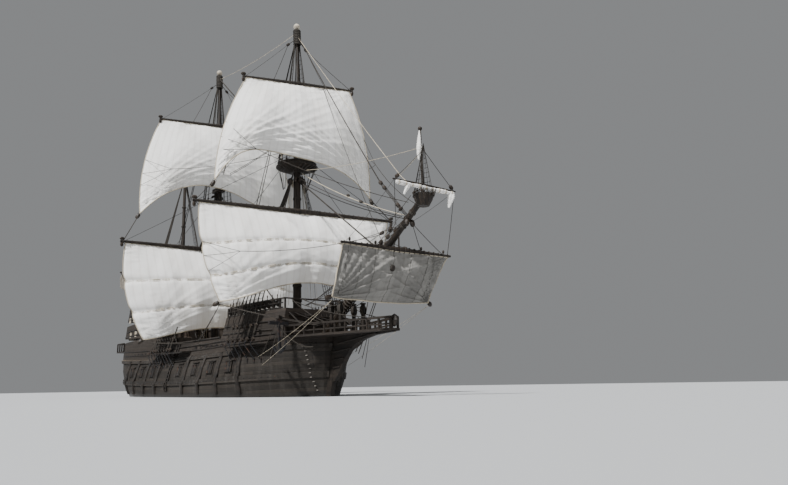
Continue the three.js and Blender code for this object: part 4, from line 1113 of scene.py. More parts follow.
def buildStays():
    heads = {"fore": mastAt("fore", 29.8, True), "main": mastAt("main", 31.3, True)}
    tackle, spritEnd = Vector(stays["tackle"]), Vector(stays["spritEnd"])
    line("fore_topmast_stay", hung(heads["fore"], tackle, 0.2), rope["stay"] * 0.8)
    for shift in (-0.14, 0.0, 0.14):
        line("fore_topmast_stay_tackle", [tackle + at(y=shift), spritEnd + at(y=shift, z=0.1)],
             rope["running"])
    for share in (0.0, 0.14, 0.62):
        fit("stay_hearts", "heart", between(tackle, spritEnd, share), spritEnd - tackle, 0.6)
    line("main_topmast_stay", hung(heads["main"], mastAt("fore", 19.0) - at(0.3), 0.25), rope["stay"])
    line("masthead_stay", hung(mastAt("fore", 29.9, True), mastAt("main", 31.2, True), 0.3),
         rope["light"] * 0.8,
         "hempRope")
    line("mizzen_stay", hung(mastAt("mizzen", 22.2), at(-2.7, 0.35, 6.0), 0.2), rope["stay"] * 0.9)
    for side in sideNames:
        for kind, rails in stays["backstays"].items():
            for x, z in rails:
                line(f"{kind}_backstays", [onSide(x, z, side, 0.05)[0], heads[kind]], rope["shroud"] * 0.9)
    endX, endZ = stays["preventerEnd"]
    for y, finish, rise in stays["preventers"]:
        start = mastAt("fore", 17.4 + rise) + at(0.4, y)
        line("fore_preventers_" + finish, hung(start, at(endX, y * 0.5, endZ + rise * 0.3), 0.35, 13),
             rope["running"], finish)
        fit("preventer_blocks", "block", between(start, (endX, y * 0.5, endZ), 0.62 + y * 0.4), (1, 0, -0.5),
            0.8)
    for foot in stays["knee"]:
        line("bobstay", hung(onBowsprit(0.80, -0.25), foot, 0.15), rope["running"] * 1.1)
    for share in steps(*stays["gammoning"]):
        fit("gammoning", "lashing", onBowsprit(share, -0.02), bowspritWay, (0.33, 0.36, 0.35))
    for share in stays["wooldings"]:
        radius = 0.335 - 0.12 * share
        fit("bowsprit_wooldings", "lashing", onBowsprit(share), bowspritWay, (radius, radius, 0.6))


spritRig = {"hounds": 15.6, "lifts": 15.2, "angles": (52, 78, 104, 130), "shroudRadius": 0.62, "netting": 16,
            "nettingRadius": 0.66, "deck": (25.1, 0.35, 10.75), "collar": (26.05, 0.22, 10.75),
            "liftShares": (0.42, 0.86),
            "blocks": ((24.4, 0.24, 10.6), (23.4, 0.26, 9.9), (22.6, 0.28, 9.3), (21.7, 0.3, 8.6)),
            "knot": (26.27, -0.9, 13.69)}
spritTackles = (((24.3, -0.3, 11.2), (26.8, -0.5, 12.3)), ((23.0, 0.35, 10.4), (26.9, 0.5, 12.3)),
                ((22.2, -0.3, 9.6), (24.9, -0.3, 9.4)), ((23.6, 0.3, 10.0), (24.95, 1.6, 9.3)),
                ((24.9, -0.2, 11.0), (24.9, -1.4, 9.3)), ((25.4, -0.2, 11.3), (24.9, -2.6, 9.3)))


# The small mast's shrouds, ratlines and netting on one side.
def buildSpritPole(side):
    foot, head = at(spritPole["x"], 0, spritPole["top"]), spritPoleAt(spritRig["hounds"])
    rims = [foot + circled(side * angle, spritRig["shroudRadius"], z=0.35) for angle in spritRig["angles"]]
    for rim in rims:
        line("sprit_pole_shrouds", [rim, head], rope["running"])
        fit("sprit_deadeyes", "deadeye", rim + at(z=0.12), (0, side, 0), 0.45)
    for k in range(1, 9):
        line("sprit_pole_ratlines", [between(rim, head, 0.09 * k) for rim in rims], rope["light"] * 0.8,
             sides=4)
    for k in range(spritRig["netting"]):
        low = foot + circled(side * 180 * (k + 0.5) / spritRig["netting"], spritRig["nettingRadius"], z=0.2)
        line("sprit_top_netting", [low, low + at(0.12 * math.cos(3 * k), 0.1, 0.42)], rope["light"], sides=4)


# The ropes of the two yards under and over the bowsprit's end, and the small mast's own.
def buildSpritRigging():
    upper, lower = yards["sprit_topsail"]["body"], yards["spritsail"]["body"]
    centre, head = yards["sprit_topsail"]["centre"], spritPoleAt(spritRig["lifts"])
    for side, tag in sideNames.items():
        buildSpritPole(side)
        arm, low = onYard("sprit_topsail", side * 0.96), onYard("spritsail", side * 0.94)
        line(upper + "_lifts", hung(arm, head, 0.03), rope["running"] * 0.8, body=upper,
             bend=((centre.x, 0, centre.z), head))
        fit(upper + "_lift_blocks", "block", between(arm, head, 0.1), head - arm, 0.9, body=upper)
        line(f"{upper}_sheets_{tag}", hung(arm, low, 0.15), rope["light"], body=upper, bend=(arm, low))
        deck = mirrored(spritRig["deck"], side)
        line(f"{upper}_braces_{tag}", hung(arm, deck, 0.1), rope["light"], body=upper, bend=(arm, deck))
        collar = mirrored(spritRig["collar"], side)
        fit("collar_blocks", "block", collar, (0.1, 0.2 * side, -1), 1.2)
        for share in spritRig["liftShares"]:
            spot = onYard("spritsail", side * share)
            line(f"{lower}_lifts_{tag}", hung(spot, collar, 0.05), rope["light"] * 1.1, body=lower,
                 bend=(spot, collar))
            fit("spritsail_lift_blocks", "block", spot + at(z=0.24), size=0.6, body=lower)
        for place in spritRig["blocks"]:
            spot = mirrored(place, side)
            fit("bowsprit_blocks", "block", spot, (0.6, 0.3 * side, 0.5), 1.15)
            line("bowsprit_falls", hung(spot, at(15.4, 1.1 * side + 0.1 * spot.x - 2.2, 6.5), 0.25),
                 rope["light"])
    knot = spritRig["knot"]
    line("pale_stay", hung(mastAt("fore", 29.6, True), knot, 0.15), rope["running"] * 0.8, "hempRope")
    for end in (head, at(27.15, -0.9, 12.95)):
        line("pale_stay", hung(knot, end, 0.03), rope["running"] * 0.8, "hempRope")
    line("pale_backstay", hung(spritPoleAt(15.4), at(13.6, 0, 17.4), 0.25), rope["light"] * 0.9, "hempRope")
    for a, b in spritTackles:
        line("sprit_tackles", hung(a, b, 0.12), rope["light"])
        fit("sprit_tackle_blocks", "block", between(a, b, 0.55) - at(z=0.12), Vector(b) - Vector(a), 0.9)


# Each square yard's lifts, and the point that its braces run to: x and z, with y on the port side
runs = {
    "fore": {"lift": 19.5, "span": 0.45, "brace": (6.2, 0.35, 12.4), "share": 0.95},
    "fore_topsail": {"lift": 29.3, "span": 0.85, "brace": (-0.9, 0.3, 20.6), "share": 0.94},
    "main": {"lift": 19.2, "span": 0.45, "brace": (-13.2, 3.1, 8.5), "share": 0.95},
    "main_topsail": {"lift": 30.8, "span": 0.8, "brace": (-11.0, 0.2, 22.6), "share": 0.94},
}
bands = (0.0, 0.18, 0.4, 0.62, 0.82, 0.97)
footrope = {"from": 0.12, "to": 0.96, "count": 5, "drop": 0.85, "inner": 0.3, "outer": 0.1, "behind": -0.25}


def onTopOf(name, share, rise=0.0):
    return onYard(name, share) + at(z=yardRadius(name, share) + rise)


def addFootropes(name, side, body):
    stirrups = steps(footrope["from"], footrope["to"], footrope["count"])
    drops = [footrope["inner"]] + [footrope["drop"]] * (len(stirrups) - 2) + [footrope["outer"]]
    feet = [onYard(name, side * share, drop, footrope["behind"]) for share, drop in zip(stirrups, drops)]
    for i, share in enumerate(stirrups[1:], 1):
        line(body + "_footropes", hung(feet[i - 1], feet[i], 0.12, 7), rope["light"], body=body, sides=4)
        line(body + "_footropes", [onYard(name, side * share, 0.0, -yardRadius(name, share)), feet[i]],
             rope["light"],
             body=body, sides=4)


def addBraces(name, row, side, body):
    arm, fast = onYard(name, side * row["share"]), mirrored(row["brace"], side)
    pendant = between(arm, fast, 0.16)
    line(body + "_braces", hung(arm, pendant, 0.02, 3), rope["running"] * 1.1, body=body)
    for shift in (0.0, 0.16):
        line(f"{body}_brace_falls_{sideNames[side]}", hung(pendant, fast + at(z=shift), 0.35, 13),
             rope["running"],
             body=body, bend=(pendant, between(pendant, fast, 0.7)))
    fit(body + "_brace_blocks", "block", pendant, fast - arm, 1.1, body=body)


def buildRunning():
    for name, row in runs.items():
        yard, body = yards[name], yards[name]["body"]
        mast, _, upper = name.partition("_")
        head = mastAt(mast, row["lift"], bool(upper))
        for side in sideNames:
            span = head + at(y=side * row["span"], z=-0.9 * row["span"])
            for share in (row["share"], 0.45):
                line(body + "_lifts", hung(onTopOf(name, side * share), span, 0.05), rope["running"] * 0.8,
                     body=body)
            line(body + "_lifts", [span, head + at(y=side * 0.08)], rope["running"] * 1.4, body=body)
            fit(body + "_lift_blocks", "block", span, head - span, 0.9, body=body)
            addBraces(name, row, side, body)
            tip, radius = onYard(name, side * 0.985), yardRadius(name, 0.98)
            fit(body + "_arm_blocks", "block", tip + at(z=radius + 0.14), yard["along"], body=body)
            fit(body + "_arm_blocks", "block", tip - at(z=radius + 0.16), body=body)
            for share in bands:
                width = yardRadius(name, share) * 1.08
                fit(body + "_bands", "lashing", onYard(name, side * share), yard["along"],
                    (width, width, 0.35),
                    body=body)
            addFootropes(name, side, body)
        centre = yard["centre"]
        for shift in (-0.35, 0.35):
            end = mastAt(mast, row["lift"] - 0.2, bool(upper)) + at(0.15, shift * 0.4)
            line(body + "_halyards", [onYard(name, shift / yard["half"]) + at(z=yard["radii"][0]), end],
                 rope["running"] * 1.2, body=body, bend=((centre.x, 0, centre.z), (centre.x, 0, row["lift"])))


# Where the lower corners are made fast aboard: ahead and astern of each sail, on starboard and on port
sheets = {
    "fore_course": {starboard: ((18.3, -1.75, 4.9), (4.0, -4.35, 4.45)),
                    port: ((18.6, 1.65, 4.9), (5.0, 4.3, 4.45))},
    "main_course": {starboard: ((3.4, -4.45, 4.5), (-8.6, -4.2, 6.5)),
                    port: ((3.6, 4.4, 4.5), (-8.6, 4.2, 6.5))},
    "spritsail": {starboard: ((13.31, -3.72, 2.84),), port: ((13.31, 3.72, 2.84),)},
}
# The bowlines: how far down each leech their bridles sit, and where they run to on the port side
bowlines = {
    "fore_topsail": ((0.45, 0.6, 0.72), (26.3, 0.3, 12.0)),
    "fore_course": ((0.4, 0.55, 0.7), (23.8, 0.3, 10.4)),
    "main_topsail": ((0.45, 0.6, 0.72), (12.0, 0.5, 19.4)),
}
buntlineEnd = (22.9, 0.1, 10.3)


def bodyOf(sail):
    return yards[sails[sail]["yard"]]["body"]


def buildSheets():
    for sail, ends in sheets.items():
        body, isSprit = bodyOf(sail), sail == "spritsail"
        for side, places in ends.items():
            corner = onSail(sail, side, 1.0)
            for place in places:
                kind = "tack" if place[0] > corner.x else "sheet"
                for shift in (0.0, 0.12):
                    far = Vector(place) + at(shift, 0, -shift) * (5 if isSprit else 1)
                    line(f"{body}_{kind}_{sideNames[side]}", hung(corner - at(z=0.2), far, 0.12, 11),
                         rope["running"] * (0.36 if isSprit else 0.9),
                         "hempRope" if isSprit else "tarredRope",
                         body, (corner, place))
    for below in ("fore", "main"):
        sail = below + "_topsail"
        body = bodyOf(sail)
        for side in sideNames:
            corner = onSail(sail, side, 1.0)
            line(f"{body}_sheets", [corner, onYard(below, side * 0.97) + at(z=0.1)], rope["running"] * 1.5,
                 body=body)
            line(f"{body}_clewlines", hung(corner, onYard(sail, side * 0.2, 0.1, -0.2), 0.5, 13),
                 rope["light"],
                 body=body)
    for sail, (downs, end) in bowlines.items():
        body = bodyOf(sail)
        for side in (port, starboard):
            spots = [onSail(sail, side, down) for down in downs]
            far = mirrored(end, side)
            knot = between(spots[1], far, 0.22)
            for spot in spots:
                line(f"{body}_bridles", hung(spot, knot, 0.03, 5), rope["light"], body=body)
            line(f"{body}_bowline_{sideNames[side]}", hung(knot, far, 0.35, 13), rope["light"] * 1.2,
                 body=body,
                 bend=(knot, far))
    start = onYard("fore_topsail", 0.42, 0.1, 0.2)
    line("fore_buntline", hung(start, buntlineEnd, 0.3, 13), rope["light"] * 1.2, body=bodyOf("fore_topsail"),
         bend=(start, buntlineEnd))


buildStays()
buildSpritRigging()
buildShrouds()
buildTopmastShrouds()
buildRunning()
buildSheets()
print("rigging")


# Masts and tops

top = {"ribs": 24, "rib": (0.09, 0.05, 0.02), "foot": (0.52, -0.45), "rise": 0.24, "blocks": 10}
mastWooldings = {"count": 8, "from": 1.6, "short": 4.2, "turns": (-0.06, 0.0, 0.06), "height": 0.3}
mizzenWooldings = {"from": 9, "every": 2.1, "count": 6, "radius": 0.27, "taper": 0.012}


# The ribs and rims of a top, and the blocks that hang below it.
def dressTop(kind, mast):
    centre, rim = mastAt(kind, mast["top"]), mast["topRadius"]
    profile = [top["foot"], (rim, 0.0), (rim - 0.1, top["rise"])]
    for i in range(top["ribs"]):
        angle = 360 * (i + 0.5) / top["ribs"]
        sweep(kind + "_top_ribs", "timber", stripLoop(*top["rib"]),
              [centre + circled(angle, r * 0.985, z=z) for r, z in profile],
              circled(angle, 1, z=-0.6).normalized())
    for radius, z, thick in ((rim, 0.0, 0.055), (rim - 0.13, 0.25, 0.06), ((rim + 0.5) / 2, -0.23, 0.04)):
        sweep(kind + "_top_rims", "timber", roundLoop(6), [centre + circled(angle, radius, z=z)
                                                           for angle in steps(0, 360, 33)], thick=thick)
    for i in range(top["blocks"]):
        spot = centre + circled(360 * i / top["blocks"], 0.5, 0.62, -1.05 - 0.12 * (i % 3))
        fit(kind + "_mast_blocks", "block", spot, (0.2, 0.1, 1), 1.15)
    for side in sideNames:
        for i in range(5):
            start = centre + at(-0.2 + 0.12 * i, side * 0.5, -1.2)
            end = mastAt(kind, mast["foot"]) + at(-0.9 + 0.45 * i, side * 1.3, 1.1)
            line(kind + "_falls", [start, end], rope["light"], "hempRope", sides=4)


def dressMasts():
    for kind in ("fore", "main"):
        mast = masts[kind]
        axis = mastAt(kind, 20) - mastAt(kind, 4)
        low = mast["foot"] + mastWooldings["from"]
        for z in steps(low, low + mast["top"] - mast["foot"] - mastWooldings["short"],
                       mastWooldings["count"]):
            radius = mastRadius(kind, z) * 1.02
            for turn in mastWooldings["turns"]:
                fit(kind + "_wooldings", "lashing", mastAt(kind, z + turn), axis,
                    (radius, radius, mastWooldings["height"]))
        for z in (mast["top"] + 1.0, mast["head"] - 0.05, mast["head"] - 0.38):
            radius = mastRadius(kind, z) * 1.05
            fit(kind + "_hoops", "hoop", mastAt(kind, z), axis, (radius, radius, 1.0))
        dressTop(kind, mast)
    for i in range(mizzenWooldings["count"]):
        radius = mizzenWooldings["radius"] - mizzenWooldings["taper"] * i
        fit("mizzen_wooldings", "lashing",
            mastAt("mizzen", mizzenWooldings["from"] + mizzenWooldings["every"] * i),
            (-0.035, 0, 1), (radius, radius, 0.4))


dressMasts()
print("masts")


# The hull's sides

riders = (-11.3, -8.6, -5.8, -3.04, 3.1, 6.2, 9.0, 11.5)
rider = {"from": 0.25, "to": 3.35, "tumble": 0.35, "size": (0.26, 0.17, 0.1)}
ladder = {"sides": (-0.62, -0.18), "rungs": (-0.66, -0.14), "rise": (0.6, 4.4), "size": (0.07, 0.12, 0.02)}
# Mouldings and cap rails along the side: height, hind end and fore end
lowMouldings = (3.75, 4.15)
highMouldings = ((5.5, -17.9, -6.3), (6.1, -17.9, -6.3), (7.3, -18.0, -11.6), (7.95, -18.0, -11.6),
                 (9.0, -18.2, -14.6), (9.6, -18.2, -14.6), (4.75, 8.0, 14.4), (5.35, 8.0, 14.4))
capRails = ((6.6, -18.2, -6.1), (8.4, -18.4, -11.5), (10.1, -18.6, -14.5), (4.55, -6.0, 7.7))
wales = {"heights": (1.15, 3.11), "bolts": (-16.8, 14.6, 64)}
scuppers = {"first": -15.2, "every": 0.98, "count": 30, "z": 3.95, "none": (-5.5, 2.8),
            "size": (0.28, 0.16, 0.05)}
draftMarks = {"x": 16.55, "first": 0.45, "every": 0.3, "count": 13, "size": (0.2, 0.06, 0.03)}
gunports = {"places": (-9.9, -7.2, -4.4, 1.6, 4.7, 7.7, 10.3), "z": 2.1, "straps": (-0.2, 0.2), "frame": 0.5,
            "rigol": (0.55, 0.62)}


def sheerAt(x):
    return planking["sheer"] * (x / planking["sheerReach"]) ** 2


def alongSide(name, low, high, z, side, size, sheer=False):
    spots = steps(low, high, max(2, int((high - low) / 0.6) + 1))
    strip(name, "timber", size, [onSide(x, z + (sheerAt(x) if sheer else 0), side) for x in spots])


# An upright timber on the side, from the waterline over the wales, that never turns in too sharply.
def addRider(x, side, name):
    found = []
    for z in steps(rider["from"], rider["to"], 9):
        place, flat = onSide(x, z, side)
        if place is None:
            continue
        if found:
            place.y = side * max(abs(place.y), abs(found[-1][0].y) - rider["tumble"])
        found.append((place, flat))
    strip(name, "timber", rider["size"], found)


def dressSides():
    for side, tag in sideNames.items():
        for x in riders:
            addRider(x, side, "riders_" + tag)
        for x in ladder["sides"]:
            strip("ladder_" + tag, "timber", ladder["size"],
                  [onSide(x, z, side, 0.02) for z in steps(0.5, 4.4, 9)])
        for z in steps(*ladder["rise"], 13):
            strip("ladder_" + tag, "timber", ladder["size"], [onSide(x, z, side) for x in ladder["rungs"]])
        for z in lowMouldings:
            alongSide("mouldings_" + tag, -17.2, 14.6, z, side, (0.1, 0.06, 0.05), sheer=True)
        for z, low, high in highMouldings:
            alongSide("upper_mouldings_" + tag, low, high, z, side, (0.11, 0.07, 0.05))
        for z, low, high in capRails:
            spots = [onSide(x, z - 0.06, side)[0] for x in steps(low, high, int((high - low) / 0.7))]
            strip("cap_rails_" + tag, "timber", (0.34, 0.09, 0.02),
                  [(at(spot.x, spot.y - 0.09 * side, z), None) for spot in spots if spot], (0, 0, 1))
        for wale in wales["heights"]:
            for x in steps(*wales["bolts"]):
                place, flat = onSide(x, wale + sheerAt(x), side)
                fit("wale_bolts_" + tag, "bolt", place, flat, 0.8)
        for i in range(scuppers["count"]):
            x = scuppers["first"] + scuppers["every"] * i
            if not scuppers["none"][0] <= x <= scuppers["none"][1]:
                place, flat = onSide(x, scuppers["z"], side, 0.02)
                fit("scuppers_" + tag, "unitBox", place, flat, scuppers["size"], "iron")
        for number, x in enumerate(gunports["places"], 1):
            dressPort(side, tag, number, x)
        for i in range(draftMarks["count"]):
            z = draftMarks["first"] + draftMarks["every"] * i
            place = onSide(draftMarks["x"], z, side, tree=headTree)[0]
            fit("draft_marks_" + tag, "unitBox", place and place + at(y=0.012 * side), (0.55, side, 0),
                draftMarks["size"], "weatheredWood")


# The straps and ring of a lid, and the frame and rigol round its port.
def dressPort(side, tag, number, x):
    node = f"gunport_lid_{tag}_{number}"
    tree = treeOf(node)
    low, high = boxOf(node)
    for shift in gunports["straps"]:
        strip(node + "_straps", "iron", (0.09, 0.035, 0.01),
              [onSide(x + shift, z, side, tree=tree) for z in steps(low.z + 0.05, high.z - 0.04, 5)],
              body=node)
    place, normal = hit(tree, (x, outboard * side, low.z + 0.16), (0, -side, 0))
    fit(node + "_ring", "hoop", place + normal * 0.03, size=0.09, body=node)
    z, half = gunports["z"], gunports["frame"]
    for shift in (-half, half):
        strip("port_frames_" + tag, "timber", (0.1, 0.05, 0.03),
              [onSide(x + shift, spot, side) for spot in steps(z - half, z + half + 0.02, 4)])
    half, rise = gunports["rigol"]
    strip("port_rigols_" + tag, "timber", (0.07, 0.12, 0.03),
          [onSide(x + shift, z + rise, side) for shift in (-half, 0, half)])


dressSides()
print("sides")


# Bow, stern and decks

anchorTackles = (((16.4, 4.0, 5.2), (14.9, 4.35, 2.75)), ((16.6, 3.9, 5.0), (15.5, 4.15, 2.1)))
kneePlanks = ((3.6, 18.2, 23.3), (3.05, 17.9, 22.3), (2.5, 17.8, 21.2), (1.95, 17.7, 20.2))


def dressBow():
    for a, b in anchorTackles:
        for side in sideNames:
            line("anchor_tackles", hung(mirrored(a, side), mirrored(b, side), 0.05), rope["running"] * 0.9)
    for side in sideNames:
        line("anchor_cables", hung((17.3, 1.6 * side, 3.4), (16.4, 3.95 * side, 5.0), 0.5, 13),
             rope["stay"] * 0.9)
        fit("hawse_rims", "hoop", (17.2, 1.5 * side, 3.45), (0.8, side, 0), 0.26, "timber")
    fit("beak_knob", "ball", (24.35, 0, 4.75), size=(0.2, 0.34, 0.42), finish="timber")
    for z, low, high in kneePlanks:
        for side in sideNames:
            found = [onSide(x, z + 0.10 * (x - low), side, tree=headTree) for x in steps(low, high, 10)]
            strip("knee_planks", "timber", (0.1, 0.07, 0.03), found, (0, side, 0), reach=0.6)


railTree = treeOf("forecastle_rail")
lattice = {"reach": (7.95, 14.9, 22), "drops": (0.36, 0.70), "posts": (8.1, 12.6, 13),
           "pins": (8.4, 14.4, 13),
           "size": (0.08, 0.02, 0.06)}
railFront = {"from": (16.5, 6.75), "reach": (-1.75, 1.75, 9)}
bulkhead = {"from": 20.0, "ribs": (-2.3, 2.3, 11), "foot": 4.95, "head": 5.95, "bands": (5.15, 5.75)}
headBitts = ((19.7, 6.3), (18.6, 6.35))
headRopes = (((16.0, 1.9, 6.9), (19.7, 0.95, 6.1)), ((16.0, 1.6, 6.9), (18.6, 0.95, 6.15)),
             ((16.1, 2.3, 6.6), (22.6, 0.9, 5.05)), ((15.9, 2.5, 6.8), (19.2, 1.6, 4.9)),
             ((16.2, 0.9, 6.9), (20.6, 0.3, 7.3)))


# The highest place on the forecastle's rail at x, seen from outside.
def railTop(x, side):
    spots = (hit(railTree, (x, 9 * side, z), (0, -side, 0), 9.0)[0] for z in steps(7.4, 6.1, 53))
    return next((spot for spot in spots if spot), None)


# The mid rails and posts that turn the forecastle's rail into a lattice, with its pins and coils.
def dressRail(side, name):
    tops = [place for place in (railTop(x, side) for x in steps(*lattice["reach"])) if place]
    for drop in lattice["drops"]:
        sweep(name, "timber", stripLoop(*lattice["size"]), [place - at(z=drop) for place in tops],
              (0, side, 0))
    for x in steps(*lattice["posts"]):
        place = railTop(x, side)
        if place:
            beam(name, lattice["size"], place - at(z=0.06), place - at(z=0.76), (0, side, 0))
    for x in steps(*lattice["pins"]):
        place = railTop(x, side)
        if place:
            fit("rail_pins", "pin", place + at(0, -0.02 * side, 0.06), size=0.9)
            addCoil(place - at(0, 0.12 * side, 0.30), (0.2, side, 0), (0.16, 0.3, 1.6))


def addCoil(place, aim, size):
    fit("rail_coils", "hoop", place, aim, size, "tarredRope")


def dressRailFront():
    x, z = railFront["from"]
    for y in steps(*railFront["reach"]):
        place = hit(railTree, (x, y, z), (-1, 0, 0), 3.0)[0]
        if place:
            beam("rail_front", (0.10, 0.02, 0.08), place, place - at(z=0.75), (1, 0, 0))
            fit("rail_pins", "pin", place + at(-0.04, 0.1, 0.08), size=1.1)
            addCoil(place + at(0.1, 0.1, -0.34), (1, 0.1, 0), (0.3, 0.17, 1.8))
            fit("front_blocks", "block", place + at(0.14, -0.1, -0.2), (0.1, 0.3, 1), 1.1)


def onBulkhead(y, z):
    return hit(sideTree, (bulkhead["from"], y, z), (-1, 0, 0), 6.0)[0]


def dressForecastle():
    for side, tag in sideNames.items():
        dressRail(side, "rail_lattice_" + tag)
    dressRailFront()
    for y in steps(*bulkhead["ribs"]):
        foot, head = onBulkhead(y, bulkhead["foot"]), onBulkhead(y, bulkhead["head"])
        if foot and head:
            beam("bulkhead_ribs", (0.13, 0.06, 0.05), foot, head, (1, 0, 0))
    for z in bulkhead["bands"]:
        strip("bulkhead_bands", "timber", (0.1, 0.09, 0.05),
              [(onBulkhead(y, z), None) for y in steps(-2.4, 2.4, 9)],
              (1, 0, 0))
    for side in sideNames:
        for x, height in headBitts:
            foot = onDeck(x, 0.95 * side, 6.0)
            if foot is None:
                continue
            head = at(foot.x, foot.y, height)
            beam("head_bitts", (0.2, 0.1, 0.1), foot - at(z=0.02), head, (1, 0, 0))
            fit("head_bitt_caps", "unitBox", head, size=(0.28, 0.28, 0.1))
            addCoil(head - at(z=0.45), (1, 0.2, 0.1), (0.2, 0.34, 1.8))
        for start, end in headRopes:
            line("head_ropes", hung(mirrored(start, side), mirrored(end, side), 0.22), rope["running"])


sternTree = treeOf("hull", "half_deck", "quarter_deck", "poop_deck", "stern_gallery")
astern = -30.0
sternWindows = [(y, 6.35) for y in (-2.1, -0.7, 0.7, 2.1)] + [(y, 8.1) for y in (-1.4, 0.0, 1.4)]
sternMouldings = (3.9, 5.7, 7.1, 7.5, 9.1, 10.0)
sideWindows = ((-15.2, 6.2), (-13.2, 6.2), (-16.9, 7.85), (-15.0, 7.85))
rudderStraps = {"heights": (-2.5, -1.3, -0.1, 1.1, 2.3), "rudder": (-19.1, -17.95, 7),
                "hull": (-17.3, -15.9, 5),
                "size": (0.12, 0.03, 0.02)}
lantern = {"bars": 8, "around": 16, "foot": 0.25, "head": 0.45}


def addWindow(name, place, aim, pane, frameSize, up=(0, 0, 1)):
    fit(name + "_panes", "unitBox", place, aim, (pane, pane, 0.04), "lanternGlass", up=up)
    fit(name + "_windows", "window", place, aim, frameSize, up=up)


def dressLantern():
    tree = treeOf("stern_lantern")
    low, high = boxOf("stern_lantern")
    middle = (low + high) / 2

    def onGlass(angle, z):
        way = circled(angle, 1)
        return hit(tree, at(middle.x, middle.y, z) + way * 3, -way)[0], way

    for i in range(lantern["bars"]):
        angle = 360 * (i + 0.5) / lantern["bars"]
        heights = steps(low.z + lantern["foot"], high.z - lantern["head"], 6)
        strip("lantern_bars", "brass", (0.07, 0.03, 0.02), [onGlass(angle, z) for z in heights])
    for z in steps(low.z + lantern["foot"], high.z - lantern["head"], 3):
        strip("lantern_hoops", "brass", (0.08, 0.04, 0.02),
              [onGlass(angle, z) for angle in steps(0, 360, lantern["around"] + 1)])


def dressStern():
    for y, z in sternWindows:
        addWindow("stern", hit(sternTree, (astern, y, z), (1, 0, 0))[0], (-1, 0, 0), 0.8, (0.95, 0.95, 1),
                  (0, 1, 0))
    for z in sternMouldings:
        strip("stern_mouldings", "timber", (0.12, 0.09, 0.04),
              [(hit(sternTree, (astern, y, z), (1, 0, 0))[0], None) for y in steps(-2.7, 2.7, 13)],
              (-1, 0, 0))
    for side in sideNames:
        for x, z in sideWindows:
            addWindow("side", *onSide(x, z, side), 0.42, (0.5, 0.5, 0.8))
    rudderTree = treeOf("rudder")
    for z in rudderStraps["heights"]:
        for side in sideNames:
            strip("rudder_straps", "iron", rudderStraps["size"],
                  [onSide(x, z, side, tree=rudderTree) for x in steps(*rudderStraps["rudder"])],
                  (0, side, 0), "rudder")
            found = [onSide(x, z + 0.15, side) for x in steps(*rudderStraps["hull"])]
            strip("gudgeon_straps", "iron", rudderStraps["size"], found, reach=3.4)
    dressLantern()


hatches = ((4.6, 2.4, 1.8), (0.9, 1.8, 1.6), (-4.6, 1.2, 1.4))
# Stairs: x and y of the foot, the heights of foot and head, and the run
stairs = ((-4.9, 2.6, 3.34, 5.5, -1.3), (6.6, 2.6, 3.34, 5.6, 1.2), (-10.3, 2.1, 5.5, 7.3, -1.2),
          (-13.4, 1.7, 7.3, 9.0, -1.1))
stair = {"half": 0.4, "riser": 0.3, "side": (0.07, 0.2, 0.0), "tread": (0.24, 0.05, 0.0)}
# Doors: x and z, the way they face, their width, and their places across the ship
doors = ((-6.2, 4.25, 1, 0.9, (-0.9, 0.9)), (7.8, 4.3, -1, 0.9, (-0.9, 0.9)), (-11.5, 6.35, 1, 0.8, (0.0,)),
         (-14.5, 8.15, 1, 0.75, (0.0,)))


# A hatch's coaming and its grating.
def addHatch(x, long, wide):
    z = onDeck(x, 0, 4.5).z
    coaming, slot = (0.16, 0.22, 0.02), 0.22
    for side in (-0.5, 0.5):
        beam("hatches", coaming, (x - long / 2, side * wide, z), (x + long / 2, side * wide, z))
        beam("hatches", coaming, (x + side * long, -wide / 2, z), (x + side * long, wide / 2, z))
    for share in steps(-0.5, 0.5, int(long / slot)):
        beam("gratings", (0.08, 0.17, 0.0), (x + share * long, -wide / 2, z), (x + share * long, wide / 2, z),
             finish="upperPlanks")
    for share in steps(-0.5, 0.5, int(wide / slot)):
        beam("gratings", (0.08, 0.17, 0.0), (x - long / 2, share * wide, z), (x + long / 2, share * wide, z),
             finish="upperPlanks")


def addStairs(x, y, low, high, run):
    half = stair["half"]
    for side in (-half, half):
        beam("stair_sides", stair["side"], (x, y + side, low + 0.02), (x + run, y + side, high - 0.02))
    count = int((high - low) / stair["riser"])
    for i in range(1, count + 1):
        place = between((x, y, low), (x + run, y, high), (i - 0.3) / count)
        beam("stair_treads", stair["tread"], place - at(y=half), place + at(y=half), finish="upperPlanks")


def addCapstan(spot):
    fit("capstan", "drum", spot)
    for i in range(6):
        sweep("capstan_bars", "timber", roundLoop(5),
              [spot + at(z=0.98), spot + circled(60 * i, 1.2, z=0.98)],
              thick=0.04)


def addBitts(spot):
    for y in (-0.8, 0.8):
        beam("bitts", (0.18, 0.09, 0.09), spot + at(y=y), spot + at(0, y, 0.95), (1, 0, 0))
    beam("bitts", (0.18, 0.09, 0.09), spot + at(0.1, -1.2, 0.72), spot + at(0.1, 1.2, 0.72), (1, 0, 0))
    for y in steps(-1.0, 1.0, 6):
        fit("belaying_pins", "pin", spot + at(0.1, y, 0.8))


def addBelfry(spot):
    for y in (-0.4, 0.4):
        beam("belfry", (0.12, 0.06, 0.06), spot + at(y=y), spot + at(0, y, 1.3), (1, 0, 0))
    beam("belfry", (0.12, 0.06, 0.06), spot + at(0, -0.6, 1.3), spot + at(0, 0.6, 1.3))
    fit("ship_bell", "ball", spot + at(z=1.05), size=(0.17, 0.17, 0.22))


